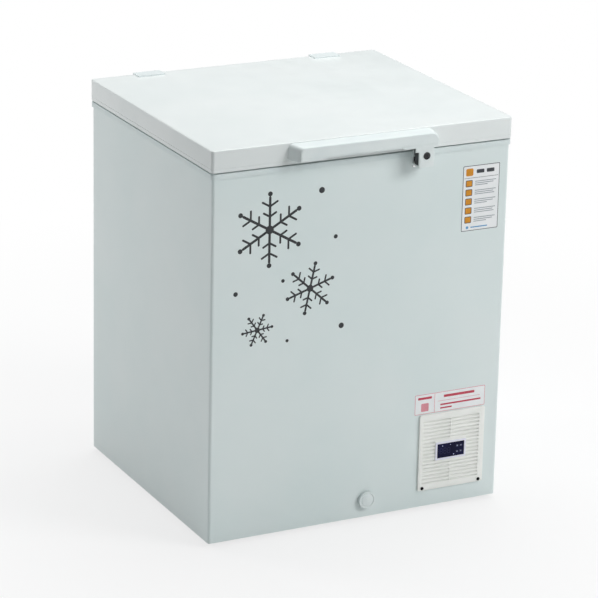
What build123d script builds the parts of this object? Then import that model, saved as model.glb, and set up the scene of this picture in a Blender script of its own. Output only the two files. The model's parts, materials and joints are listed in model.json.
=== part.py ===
from build123d import *
import os
from math import cos, radians, sin

os.makedirs("parts", exist_ok=True)

# Chest freezer for very low temperatures, standing on four feet with its lid closed.
# Millimetres: X to the viewer's right, the front faces -Y, +Z up.
# The origin lies on the floor, under the middle of the cabinet.

# Cabinet
cabinet_width = 680.0
cabinet_depth = 605.0
cabinet_height = 791.5
cabinet_corner = 6.0
wrap_sheet = 0.8
rear_sheet = 0.8
rear_return = 20.0
pan_sheet = 1.2
pan_flange = 20.0
foot_height = 10.0
foot_radius = 17.0
foot_inset = 52.0
foot_stem_radius = 4.0
foot_stem_reach = 11.0
collar_plate = 3.0
collar_skirt = 11.0
collar_overhang = 3.0
collar_lip = 2.0
collar_lip_drop = 15.0

# Tank and machine space
side_wall = 95.0
end_wall = 94.5
floor_wall = 100.0
step_wall = 95.0
inner_wall = 80.0
tank_sheet = 0.8
tank_corner = 8.0
machine_width = 214.2
machine_height = 273.8
bulkhead_sheet = 1.0

# Lid
lid_gap = 3.0
lid_height = 45.5
lid_overhang = 3.0
lid_corner = 7.0
lid_edge = 2.5
lid_sheet = 0.8
lid_hem = 8.0
lid_panel_sheet = 2.0
plug_margin = 11.0
plug_drop = 12.0
gasket_inset = 2.0
gasket_width = 18.0
seal_clearance = 0.3

# Handle and lock
handle_width = 315.0
handle_shift = -4.5
handle_reach = 32.0
handle_rise = 14.5
handle_face = 29.0
handle_flare = 14.0
handle_wall = 3.0
handle_corner = 20.0
notch_width = 176.0
notch_height = 4.0
notch_shift = -12.5
boss_radius = 5.0
block_width = 35.0
block_inset = 11.5
block_drop = 27.5
block_wall = 2.5
block_clearance = 2.0
shoulder_width = 8.0
shoulder_rise = 5.5
floor_depth = 22.0
lock_radius = 7.75
lock_drop = 3.0
lock_proud = 1.2
lock_stud_radius = 3.0
case_length = 16.5
cam_sheet = 2.0
cam_length = 14.0
cam_width = 9.0
cam_lip = 1.6
nut_height = 2.6
striker_sheet = 1.5
striker_width = 26.0
striker_height = 22.0
ledge_width = 9.0
ledge_reach = 7.0

# Hinges
hinge_spacing = 424.0
hinge_width = 62.0
hinge_wall = 2.0
hinge_height = 150.0
hinge_tab = 14.0
pivot_rise = 10.5
pivot_reach = 17.5
pin_radius = 3.2
pin_clearance = 0.05
pin_head_radius = 5.2
pin_head = 2.0
ear_radius = 10.0
knuckle_width = 50.0
knuckle_radius = 5.6
cam_radius = 9.0
cam_offset = 5.0
lid_opening = 82.0
leaf_sheet = 2.8
leaf_reach = 28.0
plunger_radius = 12.0
plunger_head = 10.0
plunger_stem_radius = 5.0
plunger_tail = 10.0
spring_wire_radius = 1.1
spring_radius = 8.5
spring_pitch = 9.0

# Grille and controller
grille_width = 157.0
grille_height = 170.5
grille_margin = 35.0
grille_rise = 37.0
grille_depth = 4.0
grille_corner = 4.0
grille_slots = 18
slot_pitch = 8.15
slot_height = 3.2
slot_side = 8.4
slot_end = 13.3
slot_rise = 14.4
rib_width = 2.4
window_margin = 8.0
controller_shift = -2.4
controller_rise = 84.7
bezel_width = 73.0
bezel_height = 40.0
bezel_proud = 1.5
screen_width = 65.0
screen_height = 32.0
screen_sheet = 1.5
screen_inset = 0.2
screen_step = 1.5
housing_depth = 45.0
housing_wall = 1.5
key_width = 6.5
key_height = 4.6
key_gap_x = 9.0
key_gap_z = 13.0
key_shift = 20.0
key_proud = 0.3
key_travel = 0.8
key_length = 3.0
board_sheet = 1.6

# Cooling machine
condenser_width = 166.0
condenser_depth = 44.0
condenser_setback = 94.0
condenser_base = 20.0
passes = 8
pass_pitch = 22.0
row_pitch = 22.0
coil_tube_radius = 4.0
fin_sheet = 0.5
fin_count = 28
end_plate = 1.5
shroud_sheet = 1.5
shroud_depth = 14.0
fan_radius = 70.0
fan_clearance = 4.0
fan_hub_radius = 16.0
fan_hub_length = 16.0
fan_blades = 5
blade_sheet = 1.6
blade_pitch = 28.0
motor_radius = 28.0
motor_length = 42.0
shaft_radius = 3.0
arm_width = 9.0
compressor_radius = 72.0
compressor_height = 172.0
compressor_setback = 191.0
seam_radius = 75.0
seam_height = 5.0
dome_radius = 30.0
base_width = 186.0
base_depth = 120.0
base_sheet = 2.5
grommet_radius = 10.0
grommet_height = 16.0
bolt_radius = 4.0
terminal_width = 56.0
terminal_depth = 26.0
terminal_height = 62.0
drier_radius = 12.0
drier_length = 90.0
line_radius = 3.0
capillary_radius = 1.5
line_bend = 10.0

# Evaporator, drain, probe and small fittings
coil_pitch = 75.0
coil_rings = 5
coil_top = 71.5
low_pitch = 70.0
low_rings = 3
coil_gap = 0.05
groove_gap = 0.2
feed_x = 200.0
feed_reach = 10.0
outlet_y = 150.0
outlet_reach = 9.0
drain_side = 20.0
drain_y = -120.0
drain_rise = 39.0
drain_outer_radius = 9.0
drain_bore_radius = 6.0
drain_bend = 24.0
drain_flange_radius = 15.0
drain_flange = 2.0
cap_radius = 18.5
cap_depth = 6.0
plug_radius = 5.7
plug_length = 12.0
probe_radius = 3.0
probe_length = 60.0
probe_x = -100.0
probe_depth = 300.0
clip_sheet = 1.2
clip_height = 8.0
clip_grip = 1.5
gland_radius = 8.0
gland_flange_radius = 12.0
gland_flange = 3.0
gland_bore_radius = 4.2
gland_length = 14.0
gland_side = 42.0
gland_rise = 42.0
vent_rows = 10
vent_pitch = 16.0
vent_length = 120.0
vent_height = 6.0
vent_rise = 110.0
screw_radius = 1.9
screw_head_radius = 3.6
screw_head = 1.8
screw_depth = 8.0
screw_gap = 0.1
touch_gap = 0.3

# Heights and faces that follow
half_width = cabinet_width / 2
front = -cabinet_depth / 2
back = cabinet_depth / 2
pan_bottom = foot_height
pan_top = pan_bottom + pan_sheet
pan_rim = pan_bottom + pan_flange
collar_top = foot_height + cabinet_height
foam_top = collar_top - collar_plate
skirt_bottom = collar_top - collar_skirt
inside_width = cabinet_width - 2 * wrap_sheet
inside_front = front + wrap_sheet
inside_back = back - rear_sheet - wrap_sheet
inside_depth = inside_back - inside_front
inside_y = (inside_back + inside_front) / 2
wrap_depth = cabinet_depth - rear_sheet
wrap_y = -rear_sheet / 2
tank_width = cabinet_width - 2 * side_wall
tank_depth = cabinet_depth - 2 * end_wall
tank_floor = foot_height + floor_wall
machine_x = inside_width / 2 - machine_width
machine_top = pan_top + machine_height
machine_mid = machine_x + machine_width / 2
step_x = machine_x - inner_wall
step_top = machine_top + bulkhead_sheet + step_wall
deep_width = step_x + tank_width / 2
deep_x = (step_x - tank_width / 2) / 2
lid_bottom = collar_top + lid_gap
lid_top = lid_bottom + lid_height
lid_width = cabinet_width + 2 * lid_overhang
lid_depth = cabinet_depth + 2 * lid_overhang
lid_front = -lid_depth / 2
lid_back = lid_depth / 2


# Shapes drawn on a plane and pushed out, for use inside a part's block
def slab(width, depth, low, high, corner=0.0, centre=(0.0, 0.0), mode=Mode.ADD):
    """An upright block between two heights, with rounded corners in plan."""
    with BuildSketch(Plane.XY.offset(low)) as plan:
        with Locations(centre):
            if corner > 0:
                RectangleRounded(width, depth, corner)
            else:
                Rectangle(width, depth)
    extrude(plan.sketch, amount=high - low, mode=mode)


def panel(width, height, start, end, centre, corner=0.0, mode=Mode.ADD):
    """A plate that faces the front or the rear, between two values of Y."""
    with BuildSketch(Plane.XZ.offset(-start)) as face:
        with Locations(centre):
            if corner > 0:
                RectangleRounded(width, height, corner)
            else:
                Rectangle(width, height)
    extrude(face.sketch, amount=start - end, mode=mode)


def rod(across, radius, start, end, centre, mode=Mode.ADD):
    """A round bar square to a plane, between two distances along its normal."""
    with BuildSketch(across.offset(start)) as ring:
        with Locations(centre):
            Circle(radius)
    extrude(ring.sketch, amount=end - start, mode=mode)


def rod_y(radius, start, end, centre, mode=Mode.ADD):
    """A round bar along Y, between two values of Y."""
    rod(Plane.XZ, radius, -start, -end, centre, mode)


def save(piece, name):
    """Label a finished piece and write its file."""
    piece.part.label = name
    export_step(piece.part, f"parts/{name}.step")


def bent_tube(points, bend, radius):
    """A solid round tube along straight runs that are joined by arcs."""
    with BuildPart() as run:
        with BuildLine():
            path = FilletPolyline(*points, radius=bend)
        with BuildSketch(Plane(origin=path @ 0, z_dir=path % 0)):
            Circle(radius)
        sweep(path=path)
    return run.part


def pan_head_screws(places, face, outward, depth):
    """Screws along Y: heads on a face, shanks into it. Outward is -1 for the front."""
    for place in places:
        rod_y(screw_head_radius, face, face + outward * screw_head, place)
        rod_y(screw_radius, face, face - outward * depth, place)


def screw_holes(places, start, end):
    """Clearance holes along Y for screws."""
    for place in places:
        rod_y(screw_radius + screw_gap, start, end, place, Mode.SUBTRACT)


# Places shared by holes and fasteners
grille_x = half_width - grille_margin - grille_width / 2
grille_bottom = pan_bottom + grille_rise
grille_z = grille_bottom + grille_height / 2
grille_front = front - grille_depth
grille_screw_inset_x = 10.0
grille_screw_inset_z = 5.2
grille_screw_places = [
    (grille_x + side * (grille_width / 2 - grille_screw_inset_x), grille_bottom + grille_screw_inset_z)
    for side in (-1, 1)
]
controller_x = grille_x + controller_shift
controller_z = grille_bottom + controller_rise
drain_x = step_x - drain_side
drain_z = pan_bottom + drain_rise
gland_place = (half_width - gland_side, pan_bottom + gland_rise)
block_x = handle_shift + handle_width / 2 - block_inset - block_width / 2
lock_z = collar_top - lock_drop
striker_screw_places = [(block_x + side * 10.0, collar_top - 24.5) for side in (-1, 1)]
rear_screw_rows = [pan_bottom + 20.0 + row * (cabinet_height - 60.0) / 4 for row in range(5)]
rear_screw_places = [
    (side * (half_width - rear_return / 2 - 1.0), z) for side in (-1, 1) for z in rear_screw_rows
]
hinge_centres = {"left": -hinge_spacing / 2, "right": hinge_spacing / 2}
hinge_top = skirt_bottom - 2.0
hinge_low = hinge_top - hinge_height
hinge_screw_places = [
    (x + side * (hinge_width / 2 + hinge_tab / 2), z)
    for x in hinge_centres.values()
    for side in (-1, 1)
    for z in (hinge_low + 15.0, hinge_top - 15.0)
]
foot_places = [
    (sx * (half_width - foot_inset), sy * (cabinet_depth / 2 - foot_inset))
    for sx in (-1, 1)
    for sy in (-1, 1)
]

# Outer wrap: painted sheet over the front and both sides, with short returns at the rear
with BuildPart() as outer_wrap:
    slab(cabinet_width, wrap_depth, pan_bottom, foam_top, cabinet_corner, (0, wrap_y))
    slab(
        inside_width,
        wrap_depth - 2 * wrap_sheet,
        pan_bottom,
        foam_top,
        cabinet_corner - wrap_sheet,
        (0, wrap_y),
        Mode.SUBTRACT,
    )
    panel(
        cabinet_width - 2 * rear_return,
        cabinet_height,
        back,
        back - 4 * rear_sheet,
        (0, pan_bottom + cabinet_height / 2),
        mode=Mode.SUBTRACT,
    )
    panel(
        grille_width - 2 * window_margin,
        grille_height - 2 * window_margin,
        inside_front,
        front,
        (grille_x, grille_z),
        mode=Mode.SUBTRACT,
    )
    rod_y(drain_outer_radius, inside_front, front, (drain_x, drain_z), Mode.SUBTRACT)
    screw_holes(grille_screw_places, inside_front, front)
    screw_holes(striker_screw_places, inside_front, front)
    screw_holes(rear_screw_places, back, inside_back)
save(outer_wrap, "outer_wrap")

# Rear panel, lapped over the returns of the wrap, with vents behind the machine space
vent_x = machine_mid
vent_rows_z = [pan_bottom + vent_rise + row * vent_pitch for row in range(vent_rows)]
with BuildPart() as rear_panel:
    panel(
        cabinet_width - 2 * cabinet_corner,
        foam_top - pan_bottom,
        back,
        back - rear_sheet,
        (0, (pan_bottom + foam_top) / 2),
    )
    with BuildSketch(Plane.XZ.offset(-back)) as vents:
        with Locations(*[(vent_x, z) for z in vent_rows_z]):
            SlotOverall(vent_length, vent_height)
    extrude(vents.sketch, amount=rear_sheet, mode=Mode.SUBTRACT)
    rod_y(gland_radius, back, back - rear_sheet, gland_place, Mode.SUBTRACT)
    screw_holes(rear_screw_places, back, back - rear_sheet)
    screw_holes(hinge_screw_places, back, back - rear_sheet)
save(rear_panel, "rear_panel")

with BuildPart() as rear_screws:
    pan_head_screws(rear_screw_places, back, 1, screw_depth)
    pan_head_screws(hinge_screw_places, back + hinge_wall, 1, hinge_wall + screw_depth)
save(rear_screws, "rear_screws")

# Base pan with an upturned edge inside the wrap
with BuildPart() as base_pan:
    pan_corner = cabinet_corner - wrap_sheet
    slab(inside_width, inside_depth, pan_bottom, pan_rim, pan_corner, (0, inside_y))
    slab(
        inside_width - 2 * pan_sheet,
        inside_depth - 2 * pan_sheet,
        pan_top,
        pan_rim,
        pan_corner - pan_sheet,
        (0, inside_y),
        Mode.SUBTRACT,
    )
    for place in foot_places:
        rod(Plane.XY, foot_stem_radius, pan_bottom, pan_top, place, Mode.SUBTRACT)
    screw_holes(grille_screw_places, inside_front + pan_sheet, inside_front)
    rod_y(drain_outer_radius, inside_front + pan_sheet, inside_front, (drain_x, drain_z), Mode.SUBTRACT)
    screw_holes(rear_screw_places, inside_back, inside_back - pan_sheet)
save(base_pan, "base_pan")

with BuildPart() as feet:
    for place in foot_places:
        rod(Plane.XY, foot_radius, 0, foot_height, place)
        rod(Plane.XY, foot_stem_radius, foot_height, foot_height + foot_stem_reach, place)
save(feet, "feet")

# Inner tank: deep on the left, with a step over the machine space
with BuildPart() as liner:
    slab(deep_width, tank_depth, tank_floor, step_top + tank_corner, tank_corner, (deep_x, 0))
    slab(tank_width, tank_depth, step_top, foam_top, tank_corner)
    slab(
        deep_width - 2 * tank_sheet,
        tank_depth - 2 * tank_sheet,
        tank_floor + tank_sheet,
        step_top + tank_corner,
        tank_corner - tank_sheet,
        (deep_x, 0),
        Mode.SUBTRACT,
    )
    slab(
        tank_width - 2 * tank_sheet,
        tank_depth - 2 * tank_sheet,
        step_top + tank_sheet,
        foam_top,
        tank_corner - tank_sheet,
        mode=Mode.SUBTRACT,
    )
    rod(Plane.XY, drain_outer_radius, tank_floor, tank_floor + tank_sheet, (drain_x, drain_y), Mode.SUBTRACT)
save(liner, "liner")

# Evaporator: one tube wound down round the tank, under its foam
coil_left = -(tank_width / 2 + coil_tube_radius + coil_gap)
coil_right = tank_width / 2 + coil_tube_radius + coil_gap
coil_front = -(tank_depth / 2 + coil_tube_radius + coil_gap)
coil_back = tank_depth / 2 + coil_tube_radius + coil_gap
coil_step = step_x + coil_tube_radius + coil_gap
coil_bend = tank_corner + coil_tube_radius + coil_gap
coil_start_z = foam_top - coil_top
turn_z = step_top + coil_pitch / 3
coil_points = [(feed_x, coil_back + feed_reach, coil_start_z), (feed_x, coil_back, coil_start_z)]
coil_bends = [feed_reach * 0.8]
for ring in range(coil_rings):
    ring_z = coil_start_z - ring * coil_pitch
    next_z = ring_z - coil_pitch if ring < coil_rings - 1 else turn_z
    coil_points += [
        (coil_left, coil_back, ring_z),
        (coil_left, coil_front, ring_z),
        (coil_right, coil_front, ring_z),
        (coil_right, coil_back, next_z),
    ]
    coil_bends += [coil_bend] * 4
coil_points += [(coil_left, coil_back, turn_z), (coil_left, coil_front, turn_z)]
coil_bends += [coil_bend] * 2
low_start_z = turn_z - coil_pitch
for ring in range(low_rings - 1):
    ring_z = low_start_z - ring * low_pitch
    next_z = ring_z - low_pitch
    coil_points += [
        (coil_step, coil_front, ring_z),
        (coil_step, coil_back, next_z),
        (coil_left, coil_back, next_z),
        (coil_left, coil_front, next_z),
    ]
    coil_bends += [coil_bend] * 4
outlet_z = low_start_z - (low_rings - 1) * low_pitch
outlet_x = machine_x + outlet_reach
coil_points += [
    (coil_step, coil_front, outlet_z),
    (coil_step, outlet_y, outlet_z),
    (outlet_x, outlet_y, outlet_z),
]
coil_bends += [coil_bend, line_bend]
evaporator_tube = bent_tube(coil_points, coil_bends, coil_tube_radius)
evaporator_groove = bent_tube(coil_points, coil_bends, coil_tube_radius + groove_gap)
with BuildPart() as evaporator_coil:
    add(evaporator_tube)
save(evaporator_coil, "evaporator_coil")

# Drain tube: down from the tank floor, then forward to a flange on the cabinet's front
drain_points = [
    (drain_x, drain_y, tank_floor + tank_sheet),
    (drain_x, drain_y, drain_z),
    (drain_x, front - drain_flange, drain_z),
]
drain_outer = bent_tube(drain_points, drain_bend, drain_outer_radius)
drain_inner = bent_tube(drain_points, drain_bend, drain_bore_radius)
with BuildPart() as drain_tube:
    add(drain_outer)
    rod_y(drain_flange_radius, front, front - drain_flange, (drain_x, drain_z))
    add(drain_inner, mode=Mode.SUBTRACT)
save(drain_tube, "drain_tube")

with BuildPart() as drain_cap:
    cap_back = front - drain_flange - touch_gap
    rod_y(cap_radius, cap_back, cap_back - cap_depth, (drain_x, drain_z))
    fillet(drain_cap.edges().filter_by(GeomType.CIRCLE).sort_by(Axis.Y)[0], radius=1.5)
    rod_y(plug_radius, cap_back + plug_length, cap_back, (drain_x, drain_z))
save(drain_cap, "drain_cap")

with BuildPart() as drain_plug:
    plug_base = tank_floor + tank_sheet + touch_gap
    rod(Plane.XY, plug_radius, plug_base - plug_length, plug_base, (drain_x, drain_y))
    rod(Plane.XY, drain_outer_radius + 3.0, plug_base, plug_base + 3.0, (drain_x, drain_y))
    rod(Plane.XY, drain_bore_radius / 2, plug_base + 3.0, plug_base + 8.0, (drain_x, drain_y))
    rod(Plane.XY, drain_bore_radius, plug_base + 8.0, plug_base + 12.0, (drain_x, drain_y))
save(drain_plug, "drain_plug")

# Capillary: from the drier, up behind the tank, to the evaporator's inlet
drier_x = machine_x + drier_radius + touch_gap
drier_z = pan_top + 236.0
condenser_y = inside_front + condenser_setback
drier_front = condenser_y + 56.0
drier_back = drier_front + drier_length
capillary_y = coil_back + feed_reach
capillary_points = [
    (drier_x, drier_back, drier_z),
    (drier_x, capillary_y, drier_z),
    (feed_x, capillary_y, drier_z),
    (feed_x, capillary_y, coil_start_z - coil_tube_radius),
]
capillary_path_tube = bent_tube(capillary_points, line_bend, capillary_radius)
capillary_groove = bent_tube(capillary_points, line_bend, capillary_radius + groove_gap)
with BuildPart() as capillary_tube:
    add(capillary_path_tube)
    add(evaporator_tube, mode=Mode.SUBTRACT)
save(capillary_tube, "capillary_tube")

# Foam between the wrap and the tank
with BuildPart() as insulation:
    slab(
        inside_width - 2 * pan_sheet,
        inside_depth - 2 * pan_sheet,
        pan_top,
        pan_rim,
        pan_corner - pan_sheet,
        (0, inside_y),
    )
    slab(inside_width, inside_depth, pan_rim, foam_top, pan_corner, (0, inside_y))
    panel(
        cabinet_width - 2 * rear_return,
        foam_top - pan_rim,
        back - rear_sheet,
        inside_back,
        (0, (foam_top + pan_rim) / 2),
    )
    slab(
        deep_width, tank_depth, tank_floor, step_top + tank_corner, tank_corner, (deep_x, 0), Mode.SUBTRACT
    )
    slab(tank_width, tank_depth, step_top, foam_top, tank_corner, mode=Mode.SUBTRACT)
    slab(
        machine_width + bulkhead_sheet + 1.0,
        cabinet_depth,
        pan_bottom,
        machine_top + bulkhead_sheet,
        centre=(machine_x - bulkhead_sheet + (machine_width + bulkhead_sheet + 1.0) / 2, 0),
        mode=Mode.SUBTRACT,
    )
    add(drain_outer, mode=Mode.SUBTRACT)
    add(evaporator_groove, mode=Mode.SUBTRACT)
    add(capillary_groove, mode=Mode.SUBTRACT)
    for place in foot_places:
        rod(
            Plane.XY,
            foot_stem_radius + touch_gap,
            pan_top,
            foot_height + foot_stem_reach + touch_gap,
            place,
            Mode.SUBTRACT,
        )
    screw_holes(rear_screw_places, back, back - screw_depth - 1.0)
    screw_holes(hinge_screw_places, back, back - screw_depth - 1.0)
    screw_holes(striker_screw_places, front + screw_depth + 1.0, front)
save(insulation, "insulation")

# Collar: plastic ring that closes the top of the foam, with a skirt outside and a lip in the tank
with BuildPart() as top_collar:
    collar_width = cabinet_width + 2 * collar_overhang
    collar_depth = cabinet_depth + 2 * collar_overhang
    lip_width = tank_width - 2 * tank_sheet
    lip_depth = tank_depth - 2 * tank_sheet
    slab(collar_width, collar_depth, skirt_bottom, collar_top, cabinet_corner + collar_overhang)
    fillet(top_collar.edges().filter_by(Plane.XY).group_by(Axis.Z)[-1], radius=1.0)
    slab(cabinet_width, cabinet_depth, skirt_bottom, foam_top, cabinet_corner, mode=Mode.SUBTRACT)
    slab(
        lip_width,
        lip_depth,
        collar_top - collar_lip_drop,
        foam_top,
        tank_corner - tank_sheet,
    )
    slab(
        lip_width - 2 * collar_lip,
        lip_depth - 2 * collar_lip,
        collar_top - collar_lip_drop,
        collar_top,
        tank_corner - tank_sheet - collar_lip,
        mode=Mode.SUBTRACT,
    )
save(top_collar, "top_collar")

# Bulkhead: sheet between the foam and the machine space
bulkhead_depth = inside_depth - 2 * pan_sheet
with BuildPart() as machine_bulkhead:
    slab(
        bulkhead_sheet,
        bulkhead_depth,
        pan_top,
        machine_top,
        centre=(machine_x - bulkhead_sheet / 2, inside_y),
    )
    slab(
        machine_width + bulkhead_sheet,
        bulkhead_depth,
        machine_top,
        machine_top + bulkhead_sheet,
        pan_corner,
        (machine_x - bulkhead_sheet + (machine_width + bulkhead_sheet) / 2, inside_y),
    )
    add(evaporator_groove, mode=Mode.SUBTRACT)
    add(capillary_groove, mode=Mode.SUBTRACT)
save(machine_bulkhead, "machine_bulkhead")

# Condenser: a two-row tube through upright fins, between two end plates
condenser_left = machine_mid - condenser_width / 2
condenser_right = machine_mid + condenser_width / 2
row_front = condenser_y - row_pitch / 2
row_back = condenser_y + row_pitch / 2
first_pass_z = pan_top + condenser_base + pass_pitch / 2
last_pass_z = first_pass_z + (passes - 1) * pass_pitch
condenser_top = last_pass_z + pass_pitch / 2
with BuildPart() as condenser_coil:
    with BuildLine():
        runs = []
        for turn in range(2 * passes):
            in_front_row = turn < passes
            level = passes - 1 - turn if in_front_row else turn - passes
            z = first_pass_z + level * pass_pitch
            y = row_front if in_front_row else row_back
            ends = [condenser_left, condenser_right]
            if turn % 2:
                ends.reverse()
            runs.append(Line((ends[0], y, z), (ends[1], y, z)))
        for before, after in zip(runs, runs[1:]):
            outward = 1 if (before @ 1).X > machine_mid else -1
            middle = ((before @ 1) + (after @ 0)) / 2
            reach = ((before @ 1) - (after @ 0)).length / 2
            ThreePointArc(before @ 1, middle + Vector(outward * reach, 0, 0), after @ 0)
    with BuildSketch(Plane(origin=runs[0] @ 0, z_dir=runs[0] % 0)):
        Circle(coil_tube_radius)
    sweep()
save(condenser_coil, "condenser_coil")

fin_pitch = (condenser_width - 2 * end_plate) / (fin_count + 1)
tube_places = [
    (y, first_pass_z + level * pass_pitch) for y in (row_front, row_back) for level in range(passes)
]
with BuildPart() as condenser_fins:
    with BuildSketch(Plane.YZ.offset(condenser_left)) as plate:
        with Locations((condenser_y, (pan_top + condenser_top) / 2)):
            Rectangle(condenser_depth, condenser_top - pan_top)
        with Locations(*tube_places):
            Circle(coil_tube_radius, mode=Mode.SUBTRACT)
    extrude(plate.sketch, amount=end_plate)
    with BuildSketch(Plane.YZ.offset(condenser_left)) as fin:
        with Locations((condenser_y, (first_pass_z + last_pass_z) / 2)):
            Rectangle(condenser_depth - 2.0, passes * pass_pitch)
        with Locations(*tube_places):
            Circle(coil_tube_radius, mode=Mode.SUBTRACT)
    for number in range(1, fin_count + 1):
        shift = end_plate + number * fin_pitch - fin_sheet / 2
        extrude(fin.sketch.moved(Location((shift, 0, 0))), amount=fin_sheet)
    extrude(plate.sketch.moved(Location((condenser_width - end_plate, 0, 0))), amount=end_plate)
save(condenser_fins, "condenser_fins")

# Fan behind the condenser: shroud, motor on four arms, blade
fan_z = (first_pass_z + last_pass_z) / 2
fan_place = (machine_mid, fan_z)
shroud_front = condenser_y + condenser_depth / 2
shroud_back = shroud_front + shroud_depth
hub_front = shroud_front + 4.0
hub_back = hub_front + fan_hub_length
motor_front = hub_back + 6.0
motor_back = motor_front + motor_length
with BuildPart() as fan_shroud:
    shroud_height = condenser_top - pan_top
    shroud_place = (machine_mid, pan_top + shroud_height / 2)
    panel(condenser_width, shroud_height, shroud_back, shroud_front, shroud_place)
    panel(
        condenser_width - 2 * shroud_sheet,
        shroud_height - 2 * shroud_sheet,
        shroud_back - shroud_sheet,
        shroud_front,
        shroud_place,
        mode=Mode.SUBTRACT,
    )
    rod_y(fan_radius + fan_clearance, shroud_back, shroud_front, fan_place, Mode.SUBTRACT)
save(fan_shroud, "fan_shroud")

with BuildPart() as fan_motor:
    rod_y(motor_radius, motor_back, motor_front, fan_place)
    fillet(fan_motor.edges().filter_by(GeomType.CIRCLE), radius=3.0)
    rod_y(shaft_radius, motor_front, hub_front + 2.0, fan_place)
    arm_length = fan_radius + fan_clearance + arm_width / 2
    with BuildSketch(Plane.XZ.offset(-(motor_front + 4.0))) as spider:
        with Locations(fan_place):
            with PolarLocations(arm_length / 2 + motor_radius / 4, 4, start_angle=45):
                Rectangle(arm_length - motor_radius / 2, arm_width)
    extrude(spider.sketch, amount=2.0)
    with BuildSketch(Plane.XZ.offset(-(motor_front + 4.0))) as feet_of_arms:
        with Locations(fan_place):
            with PolarLocations(arm_length + arm_width / 4, 4, start_angle=45):
                Rectangle(arm_width / 2, arm_width)
    extrude(feet_of_arms.sketch, amount=motor_front + 4.0 - shroud_back)
save(fan_motor, "fan_motor")

with BuildPart() as fan_blade:
    with BuildSketch(Plane.XZ.offset(-hub_back)) as hub:
        with Locations(fan_place):
            Circle(fan_hub_radius)
            Circle(shaft_radius + pin_clearance, mode=Mode.SUBTRACT)
    extrude(hub.sketch, amount=fan_hub_length)
    for number in range(fan_blades):
        turn = 360.0 * number / fan_blades
        along = Vector(cos(radians(turn)), 0, sin(radians(turn)))
        across = Vector(-sin(radians(turn)), 0, cos(radians(turn)))
        facing = across * sin(radians(blade_pitch)) - Vector(0, 1, 0) * cos(radians(blade_pitch))
        centre = Vector(fan_place[0], (hub_front + hub_back) / 2, fan_place[1])
        pitched = Plane(origin=centre, x_dir=along, z_dir=facing)
        with BuildSketch(pitched.offset(-blade_sheet / 2)) as blade:
            with Locations(((fan_hub_radius + fan_radius) / 2 - 2.0, 0)):
                RectangleRounded(fan_radius - fan_hub_radius + 4.0, 28.0, 8.0)
        extrude(blade.sketch, amount=blade_sheet)
    rod_y(shaft_radius + pin_clearance, hub_back, hub_front, fan_place, Mode.SUBTRACT)
save(fan_blade, "fan_blade")

# Compressor on its rubber-mounted plate
compressor_y = back - compressor_setback
compressor_place = (machine_mid, compressor_y)
plate_bottom = pan_top + grommet_height
plate_top = plate_bottom + base_sheet
bolt_places = [
    (machine_mid + sx * (base_width / 2 - 14.0), compressor_y + sy * (base_depth / 2 - 14.0))
    for sx in (-1, 1)
    for sy in (-1, 1)
]
with BuildPart() as compressor_base:
    slab(base_width, base_depth, plate_bottom, plate_top, 12.0, compressor_place)
    for place in bolt_places:
        rod(Plane.XY, bolt_radius, plate_bottom, plate_top, place, Mode.SUBTRACT)
save(compressor_base, "compressor_base")

with BuildPart() as compressor_shell:
    shell_top = plate_top + compressor_height
    rod(Plane.XY, compressor_radius, plate_top, shell_top, compressor_place)
    fillet(compressor_shell.edges().filter_by(GeomType.CIRCLE), radius=dome_radius)
    seam_z = plate_top + compressor_height * 0.55
    rod(Plane.XY, seam_radius, seam_z, seam_z + seam_height, compressor_place)
save(compressor_shell, "compressor_shell")

with BuildPart() as compressor_grommets:
    for place in bolt_places:
        rod(Plane.XY, grommet_radius, pan_top, plate_bottom, place)
        rod(Plane.XY, bolt_radius, pan_top, plate_bottom, place, Mode.SUBTRACT)
save(compressor_grommets, "compressor_grommets")

with BuildPart() as compressor_bolts:
    for place in bolt_places:
        rod(Plane.XY, bolt_radius, pan_top, plate_top, place)
        with BuildSketch(Plane.XY.offset(plate_top)) as head:
            with Locations(place):
                RegularPolygon(bolt_radius * 1.7, 6)
        extrude(head.sketch, amount=bolt_radius)
save(compressor_bolts, "compressor_bolts")

with BuildPart() as terminal_cover:
    cover_y = compressor_y - compressor_radius - terminal_depth / 2 + 6.0
    cover_z = plate_top + compressor_height * 0.25
    slab(
        terminal_width,
        terminal_depth,
        cover_z,
        cover_z + terminal_height,
        3.0,
        (machine_mid, cover_y),
    )
    add(compressor_shell.part, mode=Mode.SUBTRACT)
save(terminal_cover, "terminal_cover")

# Refrigerant lines in the machine space
discharge_z = plate_top + compressor_height * 0.8
line_x = machine_x + 11.0
shell_left = machine_mid - compressor_radius
with BuildPart() as discharge_line:
    add(
        bent_tube(
            [
                (shell_left + 4.0, compressor_y, discharge_z),
                (line_x, compressor_y, discharge_z),
                (line_x, compressor_y - 60.0, last_pass_z),
                (line_x, row_back, last_pass_z),
                (condenser_left, row_back, last_pass_z),
            ],
            line_bend,
            line_radius,
        )
    )
    add(compressor_shell.part, mode=Mode.SUBTRACT)
save(discharge_line, "discharge_line")

with BuildPart() as filter_drier:
    rod_y(drier_radius, drier_back, drier_front, (drier_x, drier_z))
    fillet(filter_drier.edges().filter_by(GeomType.CIRCLE), radius=7.0)
    add(
        bent_tube(
            [
                (condenser_left, row_front, last_pass_z),
                (drier_x, row_front, last_pass_z),
                (drier_x, row_front, drier_z),
                (drier_x, drier_front + 1.0, drier_z),
            ],
            line_bend,
            line_radius,
        )
    )
save(filter_drier, "filter_drier")

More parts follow.
